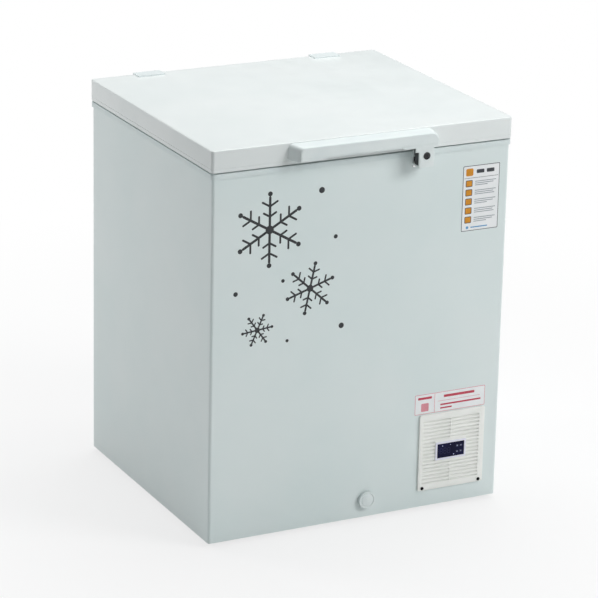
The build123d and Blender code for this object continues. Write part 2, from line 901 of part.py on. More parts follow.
suction_drop = 40.0
with BuildPart() as suction_line:
    suction_port_x = machine_mid - (compressor_radius**2 - (outlet_y - compressor_y) ** 2) ** 0.5
    add(
        bent_tube(
            [
                (outlet_x, outlet_y, outlet_z),
                (outlet_x + 14.0, outlet_y, outlet_z),
                (outlet_x + 14.0, outlet_y, outlet_z - suction_drop),
                (suction_port_x + 6.0, outlet_y, outlet_z - suction_drop),
            ],
            6.0,
            coil_tube_radius,
        )
    )
    add(compressor_shell.part, mode=Mode.SUBTRACT)
save(suction_line, "suction_line")

# Grille over the machine space, with slots each side of an upright rib
grille_left = grille_x - grille_width / 2
grille_right = grille_x + grille_width / 2
slot_runs = [
    (grille_left + slot_side, controller_x - rib_width / 2),
    (controller_x + rib_width / 2, grille_right - slot_end),
]
with BuildPart() as front_grille:
    panel(grille_width, grille_height, front, grille_front, (grille_x, grille_z), grille_corner)
    fillet(front_grille.edges().filter_by(Plane.XZ).group_by(Axis.Y)[0], radius=1.2)
    with BuildSketch(Plane.XZ.offset(-front)) as slots:
        for slot in range(grille_slots):
            slot_z = grille_bottom + slot_rise + slot_height / 2 + slot * slot_pitch
            for left, right in slot_runs:
                with Locations(((left + right) / 2, slot_z)):
                    Rectangle(right - left, slot_height)
        with Locations((controller_x, controller_z)):
            Rectangle(bezel_width + 2.0, bezel_height + 2.0, mode=Mode.SUBTRACT)
    extrude(slots.sketch, amount=grille_depth, mode=Mode.SUBTRACT)
    panel(
        bezel_width - 5.0,
        bezel_height - 4.0,
        front,
        grille_front,
        (controller_x, controller_z),
        mode=Mode.SUBTRACT,
    )
    screw_holes(grille_screw_places, front, grille_front)
save(front_grille, "front_grille")

with BuildPart() as grille_screws:
    pan_head_screws(grille_screw_places, grille_front, -1, grille_depth + screw_depth)
save(grille_screws, "grille_screws")

# Controller: housing with its bezel, dark window, four keys, board
bezel_front = grille_front - bezel_proud
screen_front = bezel_front + screen_inset
screen_back = screen_front + screen_sheet
housing_back = grille_front + housing_depth
body_width = bezel_width - 5.0
body_height = bezel_height - 4.0
board_width = body_width - 2 * housing_wall
board_height = body_height - 2 * housing_wall
board_front = screen_back + 7.0
controller_place = (controller_x, controller_z)
with BuildPart() as controller_housing:
    panel(bezel_width, bezel_height, grille_front, bezel_front, controller_place, 2.0)
    panel(body_width, body_height, housing_back, grille_front, controller_place)
    panel(screen_width, screen_height, screen_back, bezel_front, controller_place, mode=Mode.SUBTRACT)
    panel(
        screen_width - 2 * screen_step,
        screen_height - 2 * screen_step,
        board_front,
        screen_back,
        controller_place,
        mode=Mode.SUBTRACT,
    )
    panel(
        board_width,
        board_height,
        housing_back - housing_wall,
        board_front,
        controller_place,
        mode=Mode.SUBTRACT,
    )
save(controller_housing, "controller_housing")

key_places = {
    "key_set": (controller_x + key_shift - key_gap_x / 2, controller_z + key_gap_z / 2),
    "key_up": (controller_x + key_shift + key_gap_x / 2, controller_z + key_gap_z / 2),
    "key_mute": (controller_x + key_shift - key_gap_x / 2, controller_z - key_gap_z / 2),
    "key_down": (controller_x + key_shift + key_gap_x / 2, controller_z - key_gap_z / 2),
}
with BuildPart() as display_window:
    panel(screen_width, screen_height, screen_back, screen_front, controller_place)
    for place in key_places.values():
        panel(
            key_width + 2 * screw_gap,
            key_height + 2 * screw_gap,
            screen_back,
            screen_front,
            place,
            mode=Mode.SUBTRACT,
        )
save(display_window, "display_window")

key_front = screen_front - key_proud
key_back = key_front + key_length
for key_name, place in key_places.items():
    with BuildPart() as key:
        panel(key_width, key_height, key_back, key_front, place)
        fillet(key.edges().filter_by(Plane.XZ).group_by(Axis.Y)[0], radius=0.25)
    save(key, key_name)

with BuildPart() as controller_board:
    panel(board_width, board_height, board_front + board_sheet, board_front, controller_place)
    for place in key_places.values():
        panel(4.0, 3.0, board_front, key_back + key_travel + 0.2, place)
save(controller_board, "controller_board")

# Cord gland in the rear panel
with BuildPart() as cord_gland:
    gland_inner = back + gland_flange - gland_length
    rod_y(gland_radius, back, gland_inner, gland_place)
    rod_y(gland_flange_radius, back + gland_flange, back, gland_place)
    rod_y(gland_bore_radius, back + gland_flange, gland_inner, gland_place, Mode.SUBTRACT)
save(cord_gland, "cord_gland")

# Temperature probe on the tank's rear wall, in a clip
tank_inner_back = tank_depth / 2 - tank_sheet
probe_y = tank_inner_back - clip_sheet - probe_radius
probe_top = foam_top - probe_depth
with BuildPart() as temperature_probe:
    rod(Plane.XY, probe_radius, probe_top - probe_length, probe_top, (probe_x, probe_y))
    fillet(temperature_probe.edges().filter_by(GeomType.CIRCLE), radius=probe_radius * 0.8)
save(temperature_probe, "temperature_probe")

with BuildPart() as probe_clip:
    clip_z = probe_top - probe_length / 2
    clip_reach = clip_sheet + clip_grip * probe_radius
    slab(
        4 * probe_radius,
        clip_reach,
        clip_z - clip_height / 2,
        clip_z + clip_height / 2,
        centre=(probe_x, tank_inner_back - clip_reach / 2),
    )
    rod(
        Plane.XY,
        probe_radius,
        clip_z - clip_height / 2,
        clip_z + clip_height / 2,
        (probe_x, probe_y),
        Mode.SUBTRACT,
    )
save(probe_clip, "probe_clip")

# Handle: hollow, open below, with flared ends against the lid
handle_low = collar_top + handle_rise
handle_high = handle_low + handle_face
handle_front = lid_front - handle_reach
handle_left = handle_shift - handle_width / 2
handle_right = handle_shift + handle_width / 2
foot_top = lid_top - lid_edge


def handle_outline(y, left, right, low, high, round_left, round_right):
    """The handle seen from the front, at one value of Y."""
    with BuildSketch(Plane.XZ.offset(-y)) as outline:
        with BuildLine():
            Polyline((left, low), (left + 8.0, high), (right, high), (right, low), close=True)
        make_face()
        upper = outline.vertices().group_by(Axis.Z)[-1].sort_by(Axis.X)
        fillet(upper[0], radius=round_left)
        fillet(outline.vertices().group_by(Axis.Z)[-1].sort_by(Axis.X)[-1], radius=round_right)
    return outline.sketch


outer_faces = [
    handle_outline(
        lid_front, handle_left - handle_flare, handle_right + handle_flare / 2, handle_low, foot_top, 12, 20
    ),
    handle_outline(
        handle_front, handle_left, handle_right, handle_low, handle_high, 10, handle_corner
    ),
]
inner_low = handle_low - 1.0
inner_faces = [
    handle_outline(
        lid_front,
        handle_left - handle_flare + handle_wall,
        handle_right + handle_flare / 2 - handle_wall,
        inner_low,
        foot_top - handle_wall,
        9,
        17,
    ),
    handle_outline(
        handle_front + handle_wall,
        handle_left + handle_wall,
        handle_right - handle_wall,
        inner_low,
        handle_high - handle_wall,
        8,
        handle_corner - handle_wall,
    ),
]
boss_z = handle_low + handle_face * 0.6
boss_places = [
    (handle_left + 28.0, boss_z),
    (handle_right - 78.0, boss_z),
    (handle_right - 16.0, boss_z),
]
block_left = block_x - block_width / 2
block_bottom = collar_top - block_drop
block_back = front - collar_overhang - block_clearance
shoulder_top = handle_low + 2.0
shoulder_bottom = collar_top + shoulder_rise
with BuildPart() as handle:
    loft(outer_faces)
    fillet(handle.edges().filter_by(Plane.XZ).group_by(Axis.Y)[0].sort_by(Axis.Z)[1:], radius=1.2)
    loft(inner_faces, mode=Mode.SUBTRACT)
    panel(
        notch_width,
        2 * notch_height,
        lid_front,
        handle_front - 1.0,
        (handle_shift + notch_shift, handle_low),
        mode=Mode.SUBTRACT,
    )
    for place in boss_places:
        rod_y(boss_radius, lid_front, handle_front + handle_wall, place)
        rod_y(screw_radius, lid_front, lid_front - screw_depth, place, Mode.SUBTRACT)
    panel(
        block_width,
        shoulder_top - block_bottom,
        block_back,
        handle_front,
        (block_x, (block_bottom + shoulder_top) / 2),
    )
    panel(
        shoulder_width,
        shoulder_top - shoulder_bottom,
        block_back,
        handle_front,
        (block_left - shoulder_width / 2, (shoulder_bottom + shoulder_top) / 2),
    )
    panel(
        block_width - 2 * block_wall,
        shoulder_top - block_bottom,
        block_back,
        handle_front + handle_wall,
        (block_x, (block_bottom + shoulder_top) / 2 + block_wall),
        mode=Mode.SUBTRACT,
    )
    panel(
        block_width - 2 * block_wall,
        2 * block_wall,
        block_back,
        handle_front + floor_depth,
        (block_x, block_bottom),
        mode=Mode.SUBTRACT,
    )
    panel(
        block_wall + shoulder_width + 2.0,
        shoulder_top - block_bottom - 4.0,
        block_back - block_wall,
        handle_front + handle_wall,
        (block_left + block_wall - (block_wall + shoulder_width + 2.0) / 2, (block_bottom + shoulder_top) / 2),
        mode=Mode.SUBTRACT,
    )
    rod_y(lock_radius + pin_clearance, handle_front + handle_wall, handle_front, (block_x, lock_z), Mode.SUBTRACT)
save(handle, "handle")

with BuildPart() as handle_screws:
    for place in boss_places:
        rod_y(screw_head_radius, lid_front + lid_sheet + screw_head, lid_front + lid_sheet, place)
        rod_y(screw_radius, lid_front + lid_sheet, lid_front - screw_depth, place)
save(handle_screws, "handle_screws")

# Lock: dark case in the block, barrel, cam and nut
case_front = handle_front + handle_wall + screw_gap
case_back = case_front + case_length
case_bottom = block_bottom + block_wall + screw_gap
case_top = handle_low - 3.0
with BuildPart() as lock_case:
    case_width = block_width - block_wall - 1.0
    panel(
        case_width,
        case_top - case_bottom,
        case_back,
        case_front,
        (block_x + block_width / 2 - block_wall - case_width / 2, (case_top + case_bottom) / 2),
    )
    rod_y(lock_radius + pin_clearance, case_back, case_front, (block_x, lock_z), Mode.SUBTRACT)
save(lock_case, "lock_case")

cam_front = case_back + touch_gap
cam_back = cam_front + cam_sheet
with BuildPart() as lock_cylinder:
    rod_y(lock_radius, case_back, handle_front - lock_proud, (block_x, lock_z))
    rod_y(lock_stud_radius, cam_back, case_back, (block_x, lock_z))
    with BuildSketch(Plane.XZ.offset(-(cam_back + nut_height))) as hexagon:
        with Locations((block_x, lock_z)):
            RegularPolygon(lock_stud_radius * 1.8, 6)
    extrude(hexagon.sketch, amount=nut_height)
    panel(1.4, lock_radius, handle_front + 4.0, handle_front - lock_proud, (block_x, lock_z), mode=Mode.SUBTRACT)
save(lock_cylinder, "lock_cylinder")

with BuildPart() as lock_cam:
    with BuildSketch(Plane.XZ.offset(-cam_back)) as tongue:
        with Locations((block_x, lock_z)):
            Circle(cam_width / 2)
        with Locations((block_x - cam_length / 2, lock_z)):
            Rectangle(cam_length, cam_width)
        with Locations((block_x, lock_z)):
            Circle(lock_stud_radius, mode=Mode.SUBTRACT)
    extrude(tongue.sketch, amount=cam_sheet)
    panel(
        cam_lip,
        cam_width,
        block_back,
        cam_back,
        (block_x - cam_length + cam_lip / 2, lock_z),
    )
save(lock_cam, "lock_cam")

# Striker on the cabinet: a ledge that the cam's lip turns under
with BuildPart() as lock_striker:
    striker_top = skirt_bottom - 1.5
    striker_face = front - striker_sheet
    panel(
        striker_width,
        striker_height,
        front,
        striker_face,
        (block_x, striker_top - striker_height / 2),
    )
    panel(
        ledge_width,
        striker_sheet,
        striker_face,
        striker_face - ledge_reach,
        (block_x, striker_top - striker_sheet / 2),
    )
    screw_holes(striker_screw_places, front, striker_face)
save(lock_striker, "lock_striker")

with BuildPart() as striker_screws:
    pan_head_screws(striker_screw_places, striker_face, -1, striker_sheet + screw_depth)
save(striker_screws, "striker_screws")

# Hinges: a housing on the rear panel, an arm on the lid, a pin, and a sprung plunger under a round cam
pivot_y = back + pivot_reach
pivot_z = collar_top + pivot_rise
hinge_back = lid_back + handle_reach + lock_proud
half_opening = radians(lid_opening / 2)
cam_y = pivot_y - cam_offset * cos(half_opening)
cam_z = pivot_z - cam_offset * sin(half_opening)
plunger_top = cam_z - cam_radius - touch_gap
spring_foot = hinge_low + hinge_wall
leaf_screw_z = lid_bottom + lid_height * 0.66
leaf_screw_places = [
    (x + side * hinge_width / 3, leaf_screw_z) for x in hinge_centres.values() for side in (-1, 1)
]
for side, hinge_x in hinge_centres.items():
    with BuildPart() as hinge_body:
        with BuildSketch(Plane.YZ.offset(hinge_x - hinge_width / 2)) as cheek:
            with BuildLine():
                Polyline(
                    (back, hinge_low),
                    (hinge_back, hinge_low),
                    (hinge_back, pivot_z - 1.7 * ear_radius),
                    (pivot_y + ear_radius, pivot_z),
                    (pivot_y - ear_radius, pivot_z),
                    (pivot_y - ear_radius, hinge_top),
                    (back, hinge_top),
                    close=True,
                )
            make_face()
            with Locations((pivot_y, pivot_z)):
                Circle(ear_radius)
        extrude(cheek.sketch, amount=hinge_width)
        slab(
            hinge_width - 2 * hinge_wall,
            hinge_back - back - 2 * hinge_wall,
            hinge_low + hinge_wall,
            pivot_z + ear_radius + 1.0,
            centre=(hinge_x, (hinge_back + back) / 2),
            mode=Mode.SUBTRACT,
        )
        panel(
            hinge_width + 2 * hinge_tab,
            hinge_top - hinge_low,
            back + hinge_wall,
            back,
            (hinge_x, (hinge_top + hinge_low) / 2),
        )
        rod(
            Plane.YZ,
            pin_radius + pin_clearance,
            hinge_x - hinge_width / 2,
            hinge_x + hinge_width / 2,
            (pivot_y, pivot_z),
            Mode.SUBTRACT,
        )
        rod(
            Plane.XY,
            plunger_stem_radius + pin_clearance,
            hinge_low,
            hinge_low + hinge_wall,
            (hinge_x, pivot_y),
            Mode.SUBTRACT,
        )
        screw_holes(hinge_screw_places, back + hinge_wall, back)
    save(hinge_body, f"hinge_body_{side}")

    with BuildPart() as hinge_arm:
        with BuildSketch(Plane.YZ.offset(hinge_x - knuckle_width / 2)) as knuckle:
            with Locations((pivot_y, pivot_z)):
                Circle(knuckle_radius)
            with Locations((cam_y, cam_z)):
                Circle(cam_radius)
            with Locations(((lid_back + pivot_y) / 2, pivot_z + 1.0)):
                Rectangle(pivot_y - lid_back, 14.0)
            with Locations((pivot_y, pivot_z)):
                Circle(pin_radius + pin_clearance, mode=Mode.SUBTRACT)
        extrude(knuckle.sketch, amount=knuckle_width)
        with BuildSketch(Plane.YZ.offset(hinge_x - hinge_width / 2)) as leaf:
            with BuildLine():
                Polyline(
                    (lid_back, lid_bottom + 1.0),
                    (lid_back + leaf_sheet, lid_bottom + 1.0),
                    (lid_back + leaf_sheet, lid_top + leaf_sheet),
                    (lid_back - leaf_reach, lid_top + leaf_sheet),
                    (lid_back - leaf_reach, lid_top),
                    (lid_back, lid_top),
                    close=True,
                )
            make_face()
        extrude(leaf.sketch, amount=hinge_width)
        screw_holes(leaf_screw_places, lid_back + leaf_sheet, lid_back)
    save(hinge_arm, f"hinge_arm_{side}")

    with BuildPart() as hinge_plunger:
        head_bottom = plunger_top - plunger_head
        rod(Plane.XY, plunger_radius, head_bottom, plunger_top, (hinge_x, pivot_y))
        rod(Plane.XY, plunger_stem_radius, hinge_low - plunger_tail, head_bottom, (hinge_x, pivot_y))
    save(hinge_plunger, f"hinge_plunger_{side}")

    with BuildPart() as hinge_spring:
        spring_low = spring_foot + spring_wire_radius + touch_gap
        spring_high = head_bottom - spring_wire_radius - touch_gap
        with BuildLine():
            wind = Helix(
                spring_pitch, spring_high - spring_low, spring_radius, center=(hinge_x, pivot_y, spring_low)
            )
        with BuildSketch(Plane(origin=wind @ 0, z_dir=wind % 0)):
            Circle(spring_wire_radius)
        sweep(path=wind, is_frenet=True)
    save(hinge_spring, f"hinge_spring_{side}")

with BuildPart() as hinge_pins:
    for hinge_x in hinge_centres.values():
        left = hinge_x - hinge_width / 2
        right = hinge_x + hinge_width / 2
        rod(Plane.YZ, pin_radius, left, right, (pivot_y, pivot_z))
        rod(Plane.YZ, pin_head_radius, left - pin_head, left, (pivot_y, pivot_z))
        rod(Plane.YZ, pin_head_radius, right, right + pin_head, (pivot_y, pivot_z))
save(hinge_pins, "hinge_pins")

with BuildPart() as hinge_arm_screws:
    pan_head_screws(leaf_screw_places, lid_back + leaf_sheet, 1, leaf_sheet + screw_depth)
save(hinge_arm_screws, "hinge_arm_screws")

# Lid: painted shell with a hem, foam, inner panel and gasket
panel_bottom = lid_bottom + lid_sheet
panel_top = panel_bottom + lid_panel_sheet
shell_width = lid_width - 2 * lid_sheet
shell_depth = lid_depth - 2 * lid_sheet
shell_corner = lid_corner - lid_sheet
plug_width = tank_width - 2 * tank_sheet - 2 * collar_lip - 2 * plug_margin
plug_depth = tank_depth - 2 * tank_sheet - 2 * collar_lip - 2 * plug_margin
plug_corner = tank_corner
plug_bottom = collar_top - plug_drop
with BuildPart() as lid_shell:
    slab(lid_width, lid_depth, lid_bottom, lid_top, lid_corner)
    fillet(lid_shell.edges().filter_by(Plane.XY).group_by(Axis.Z)[-1], radius=lid_edge)
    slab(shell_width, shell_depth, lid_bottom + lid_sheet, lid_top - lid_sheet, shell_corner, mode=Mode.SUBTRACT)
    slab(
        lid_width - 2 * lid_hem,
        lid_depth - 2 * lid_hem,
        lid_bottom,
        lid_bottom + lid_sheet,
        mode=Mode.SUBTRACT,
    )
    for place in boss_places:
        rod_y(screw_radius, lid_front + lid_sheet, lid_front, place, Mode.SUBTRACT)
    screw_holes(leaf_screw_places, lid_back, lid_back - lid_sheet)
save(lid_shell, "lid_shell")

with BuildPart() as lid_inner_panel:
    slab(shell_width, shell_depth, panel_bottom, panel_top, shell_corner)
    slab(plug_width, plug_depth, plug_bottom, panel_top, plug_corner)
    fillet(lid_inner_panel.edges().filter_by(Plane.XY).group_by(Axis.Z)[0], radius=4.0)
    slab(
        plug_width - 2 * lid_panel_sheet,
        plug_depth - 2 * lid_panel_sheet,
        plug_bottom + lid_panel_sheet,
        panel_top,
        plug_corner - lid_panel_sheet,
        mode=Mode.SUBTRACT,
    )
save(lid_inner_panel, "lid_inner_panel")

with BuildPart() as lid_foam:
    slab(shell_width, shell_depth, panel_top, lid_top - lid_sheet, shell_corner)
    slab(
        plug_width - 2 * lid_panel_sheet,
        plug_depth - 2 * lid_panel_sheet,
        plug_bottom + lid_panel_sheet,
        panel_top,
        plug_corner - lid_panel_sheet,
    )
    for place in boss_places:
        rod_y(
            screw_head_radius + screw_gap,
            lid_front + lid_sheet + screw_head,
            lid_front + lid_sheet,
            place,
            Mode.SUBTRACT,
        )
    screw_holes(leaf_screw_places, lid_back, lid_back - screw_depth - 1.0)
save(lid_foam, "lid_foam")

with BuildPart() as lid_gasket:
    gasket_outer_width = lid_width - 2 * lid_hem - 2 * gasket_inset
    gasket_outer_depth = lid_depth - 2 * lid_hem - 2 * gasket_inset
    slab(gasket_outer_width, gasket_outer_depth, collar_top + seal_clearance, panel_bottom, 6.0)
    slab(
        gasket_outer_width - 2 * gasket_width,
        gasket_outer_depth - 2 * gasket_width,
        collar_top + seal_clearance,
        panel_bottom,
        4.0,
        mode=Mode.SUBTRACT,
    )
save(lid_gasket, "lid_gasket")
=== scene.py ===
import json
from math import cos, pi, radians, sin

import bmesh
import bpy
from mathutils import Matrix, Vector


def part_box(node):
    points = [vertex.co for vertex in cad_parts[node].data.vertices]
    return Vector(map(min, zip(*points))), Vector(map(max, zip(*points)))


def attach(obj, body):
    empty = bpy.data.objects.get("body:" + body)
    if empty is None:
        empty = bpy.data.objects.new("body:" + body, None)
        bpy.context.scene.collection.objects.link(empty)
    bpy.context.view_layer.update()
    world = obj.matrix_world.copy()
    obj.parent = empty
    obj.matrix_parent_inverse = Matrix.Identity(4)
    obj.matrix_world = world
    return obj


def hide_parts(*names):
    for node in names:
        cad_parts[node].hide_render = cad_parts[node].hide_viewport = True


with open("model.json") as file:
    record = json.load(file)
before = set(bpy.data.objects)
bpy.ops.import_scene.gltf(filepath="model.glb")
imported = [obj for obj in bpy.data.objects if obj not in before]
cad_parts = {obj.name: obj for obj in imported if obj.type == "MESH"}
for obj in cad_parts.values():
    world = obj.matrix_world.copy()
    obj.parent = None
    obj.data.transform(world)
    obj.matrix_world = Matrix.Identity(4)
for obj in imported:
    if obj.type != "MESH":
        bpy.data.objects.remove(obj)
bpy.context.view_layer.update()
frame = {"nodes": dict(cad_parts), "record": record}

bl_info = {
    "name": "Chest ultra low temperature freezer",
    "version": (1, 0, 0),
    "blender": (4, 5, 0),
    "location": "View3D > Sidebar > Freezer",
    "description": "Dresses a chest freezer for very low temperatures around its packed model",
    "category": "Object",
}

MM = 0.001


# Colours and nodes


def linear(code):
    """The linear colour of an sRGB hex value, with full alpha."""
    parts = [int(code[i:i + 2], 16) / 255 for i in (1, 3, 5)]
    return tuple(p / 12.92 if p <= 0.04045 else ((p + 0.055) / 1.055) ** 2.4 for p in parts) + (1.0,)


def add_node(tree, kind, settings=None, values=None, links=None):
    """Adds one node with its settings, its socket values and the outputs that feed its sockets.

    A socket goes by its name, or by its number where names repeat.
    """
    node = tree.nodes.new(kind)
    for name, value in (settings or {}).items():
        setattr(node, name, value)
    for socket, value in (values or {}).items():
        node.inputs[socket].default_value = value
    for socket, output in (links or {}).items():
        tree.links.new(output, node.inputs[socket])
    return node


def new_material(name, look):
    """A material with one Principled shader, and the Object coordinates that its patterns read."""
    material = bpy.data.materials.new(name)
    material.use_nodes = True
    tree = material.node_tree
    tree.nodes.clear()
    shader = add_node(tree, "ShaderNodeBsdfPrincipled", values=look)
    output = add_node(tree, "ShaderNodeOutputMaterial", links={"Surface": shader.outputs["BSDF"]})
    place = add_node(tree, "ShaderNodeTexCoord").outputs["Object"]
    return material, tree, shader, output, place


# Each texture's node and the output that is read; lines are clouds drawn out along the metal
TEXTURES = {
    "clouds": ("ShaderNodeTexNoise", "Fac"),
    "lines": ("ShaderNodeTexNoise", "Fac"),
    "crystals": ("ShaderNodeTexVoronoi", "Color"),
    "bubbles": ("ShaderNodeTexVoronoi", "Distance"),
}
# The middle share of a noise texture, where nearly all of its values lie
NOISE_LOW, NOISE_HIGH = 0.3, 0.7


def surface(
    name, look, colour, gloss=None, relief=None, stretch=(1, 1, 1), stops=(0.35, 0.65), strength=1.0
):
    """A Principled material whose colour, roughness and height each follow a pattern.

    colour, gloss and relief each hold a texture, the width of its grain in millimetres, its fineness,
    and then two tones, two roughnesses or a depth in millimetres.
    """
    material, tree, shader, _, place = new_material(name, look)
    channels = {"Base Color": colour, "Roughness": gloss, "Normal": relief}
    for socket, pattern in channels.items():
        if pattern is None:
            continue
        texture, grain, fineness, *ends = pattern
        kind, output = TEXTURES[texture]
        source = place
        if texture == "lines":
            source = add_node(
                tree, "ShaderNodeMapping", values={"Scale": stretch}, links={"Vector": place}
            ).outputs["Vector"]
        value = add_node(
            tree, kind, values={"Scale": 1 / (grain * MM), "Detail": fineness}, links={"Vector": source}
        ).outputs[output]
        if socket == "Base Color":
            ramp = add_node(tree, "ShaderNodeValToRGB", links={"Fac": value})
            for stop, position, tone in zip(ramp.color_ramp.elements, stops, ends):
                stop.position = position
                stop.color = linear(tone)
            result = ramp.outputs["Color"]
        elif socket == "Roughness":
            span = {"From Min": NOISE_LOW, "From Max": NOISE_HIGH, "To Min": ends[0], "To Max": ends[1]}
            spread = add_node(tree, "ShaderNodeMapRange", values=span, links={"Value": value})
            result = spread.outputs["Result"]
        else:
            rise = {"Strength": strength, "Distance": ends[0] * MM}
            result = add_node(tree, "ShaderNodeBump", values=rise, links={"Height": value}).outputs["Normal"]
        tree.links.new(result, shader.inputs[socket])
    return material


# Finishes


def coated_steel(name, low, high, rough=0.32, peel=2.2):
    """Powder coated sheet steel: even colour, soft gloss, faint orange peel 2 mm wide."""
    return surface(
        name,
        {"IOR": 1.5, "Coat Weight": 0.15, "Coat Roughness": 0.12},
        colour=("clouds", 180, 3, low, high),
        gloss=("clouds", 35, 2, rough - 0.03, rough + 0.05),
        relief=("clouds", peel, 1, 0.012),
    )


def moulded_plastic(name, low, high, rough=0.4, grain=0.9, depth=0.02):
    """Injection moulded ABS: even colour, satin, with the fine spark grain of its mould."""
    return surface(
        name,
        {"IOR": 1.53, "Specular IOR Level": 0.45},
        colour=("clouds", 60, 2, low, high),
        gloss=("clouds", 12, 2, rough - 0.04, rough + 0.06),
        relief=("clouds", grain, 2, depth),
    )


def rolled_metal(name, low, high, rough=0.35, stretch=(1, 1, 24), grain=9, depth=0.015):
    """Bare rolled or drawn metal: fine lines along the way it was rolled, which smear its highlights."""
    return surface(
        name,
        {"Metallic": 1.0},
        colour=("lines", grain, 4, low, high),
        gloss=("clouds", 30, 3, rough - 0.08, rough + 0.1),
        relief=("lines", grain, 4, depth),
        stretch=stretch,
    )


def galvanised_steel(name, low, high, rough=0.42):
    """Hot dip galvanised sheet: zinc crystals about 12 mm wide, each a little lighter or darker."""
    return surface(
        name,
        {"Metallic": 0.85},
        colour=("crystals", 12, 0, low, high),
        gloss=("crystals", 12, 0, rough - 0.07, rough + 0.1),
        relief=("clouds", 3, 2, 0.01),
        stops=(0.1, 0.9),
    )


def soft_rubber(name, low, high, rough=0.72):
    """Moulded rubber: matt, with a dusty bloom in patches and a fine cast grain."""
    return surface(
        name,
        {"IOR": 1.52, "Specular IOR Level": 0.3},
        colour=("clouds", 9, 4, low, high),
        gloss=("clouds", 5, 2, rough - 0.08, rough + 0.1),
        relief=("clouds", 0.7, 2, 0.03),
    )


def machined_metal(name, low, high, rough=0.25):
    """Turned and plated steel: fine tool rings that break up a bright highlight."""
    return surface(
        name,
        {"Metallic": 1.0},
        colour=("lines", 2.5, 3, low, high),
        gloss=("clouds", 6, 2, rough - 0.06, rough + 0.08),
        relief=("lines", 2.5, 3, 0.006),
        stretch=(1, 6, 1),
    )


def drawn_copper(name, low, high):
    """Drawn copper tube: warm metal with brown handling marks and soft draw lines."""
    return surface(
        name,
        {"Metallic": 1.0},
        colour=("clouds", 22, 5, low, high),
        gloss=("clouds", 10, 2, 0.26, 0.45),
        relief=("clouds", 2, 2, 0.01),
        stops=(0.3, 0.6),
    )


def rigid_foam(name, low, high):
    """Polyurethane foam poured between the walls: cream, matt, open bubbles 1 to 3 mm wide."""
    return surface(
        name,
        {"Roughness": 0.95, "Specular IOR Level": 0.1},
        colour=("clouds", 40, 3, low, high),
        relief=("bubbles", 2.4, 0, 0.6),
        strength=0.8,
    )


def circuit_board(name, low, high, run):
    """Fibreglass board under green solder resist: paler copper runs show through it."""
    material, tree, shader, _, place = new_material(name, {"IOR": 1.55, "Roughness": 0.3})
    runs = add_node(
        tree,
        "ShaderNodeTexBrick",
        values={
            "Scale": 1 / (6 * MM),
            "Mortar Size": 0.08,
            "Color1": linear(low),
            "Color2": linear(high),
            "Mortar": linear(run),
        },
        links={"Vector": place},
    )
    rise = {"Strength": 1.0, "Distance": 0.04 * MM}
    bump = add_node(tree, "ShaderNodeBump", values=rise, links={"Height": runs.outputs["Fac"]})
    tree.links.new(runs.outputs["Color"], shader.inputs["Base Color"])
    tree.links.new(bump.outputs["Normal"], shader.inputs["Normal"])
    return material


def tinted_acrylic(name, low, high):
    """Polished acrylic screen, dyed navy: dark, sharp reflections, a trace of polishing haze."""
    return surface(
        name,
        {"IOR": 1.49, "Specular IOR Level": 0.12},
        colour=("clouds", 25, 2, low, high),
        gloss=("clouds", 14, 3, 0.08, 0.16),
    )


def screen_ink(name, low, high):
    """Screen printed ink: flat colour a few hundredths thick, slightly uneven where the mesh laid it down."""
    return surface(
        name,
        {"IOR": 1.5, "Specular IOR Level": 0.35},
        colour=("clouds", 14, 4, low, high),
        gloss=("clouds", 4, 2, 0.4, 0.53),
        relief=("clouds", 0.8, 2, 0.004),
        stops=(0.3, 0.7),
    )


def sticker_film(name, low, high):
    """Printed vinyl sticker: white film with a soft gloss and slight ripples where it was smoothed on."""
    return surface(
        name,
        {"IOR": 1.48, "Coat Weight": 0.2, "Coat Roughness": 0.15},
        colour=("clouds", 30, 2, low, high),
        gloss=("clouds", 18, 2, 0.3, 0.42),
        relief=("clouds", 26, 1, 0.05),
    )


def pilot_light(name, low, high):
    """Moulded light pipe: milky, and lit a little from behind."""
    return surface(
        name,
        {"IOR": 1.46, "Roughness": 0.2, "Emission Strength": 0.25, "Emission Color": linear(low)},
        colour=("clouds", 2, 2, low, high),
    )


def studio_floor(name, tint, lift, near, far):
    """Seamless paper: keeps the object's soft shadow near it and runs out to white away from it."""
    look = {"Base Color": tuple(tint) + (1.0,), "Roughness": 0.9, "Specular IOR Level": 0.0}
    material, tree, shader, output, place = new_material(name, look)
    distance = add_node(tree, "ShaderNodeVectorMath", {"operation": "LENGTH"}, links={"Vector": place})
    fade = add_node(
        tree,
        "ShaderNodeMapRange",
        {"interpolation_type": "SMOOTHSTEP"},
        {"From Min": near, "From Max": far, "To Min": lift, "To Max": 1.0},
        {"Value": distance.outputs["Value"]},
    )
    rays = add_node(tree, "ShaderNodeLightPath").outputs
    seen = add_node(
        tree,
        "ShaderNodeMath",
        {"operation": "MAXIMUM"},
        links={0: rays["Is Camera Ray"], 1: rays["Is Glossy Ray"]},
    )
    share = add_node(
        tree,
        "ShaderNodeMath",
        {"operation": "MULTIPLY"},
        links={0: seen.outputs[0], 1: fade.outputs["Result"]},
    )
    white = add_node(tree, "ShaderNodeEmission", values={"Color": (1, 1, 1, 1), "Strength": 1.0})
    mix = add_node(
        tree,
        "ShaderNodeMixShader",
        links={0: share.outputs[0], 1: shader.outputs["BSDF"], 2: white.outputs["Emission"]},
    )
    tree.links.new(mix.outputs["Shader"], output.inputs["Surface"])
    return material


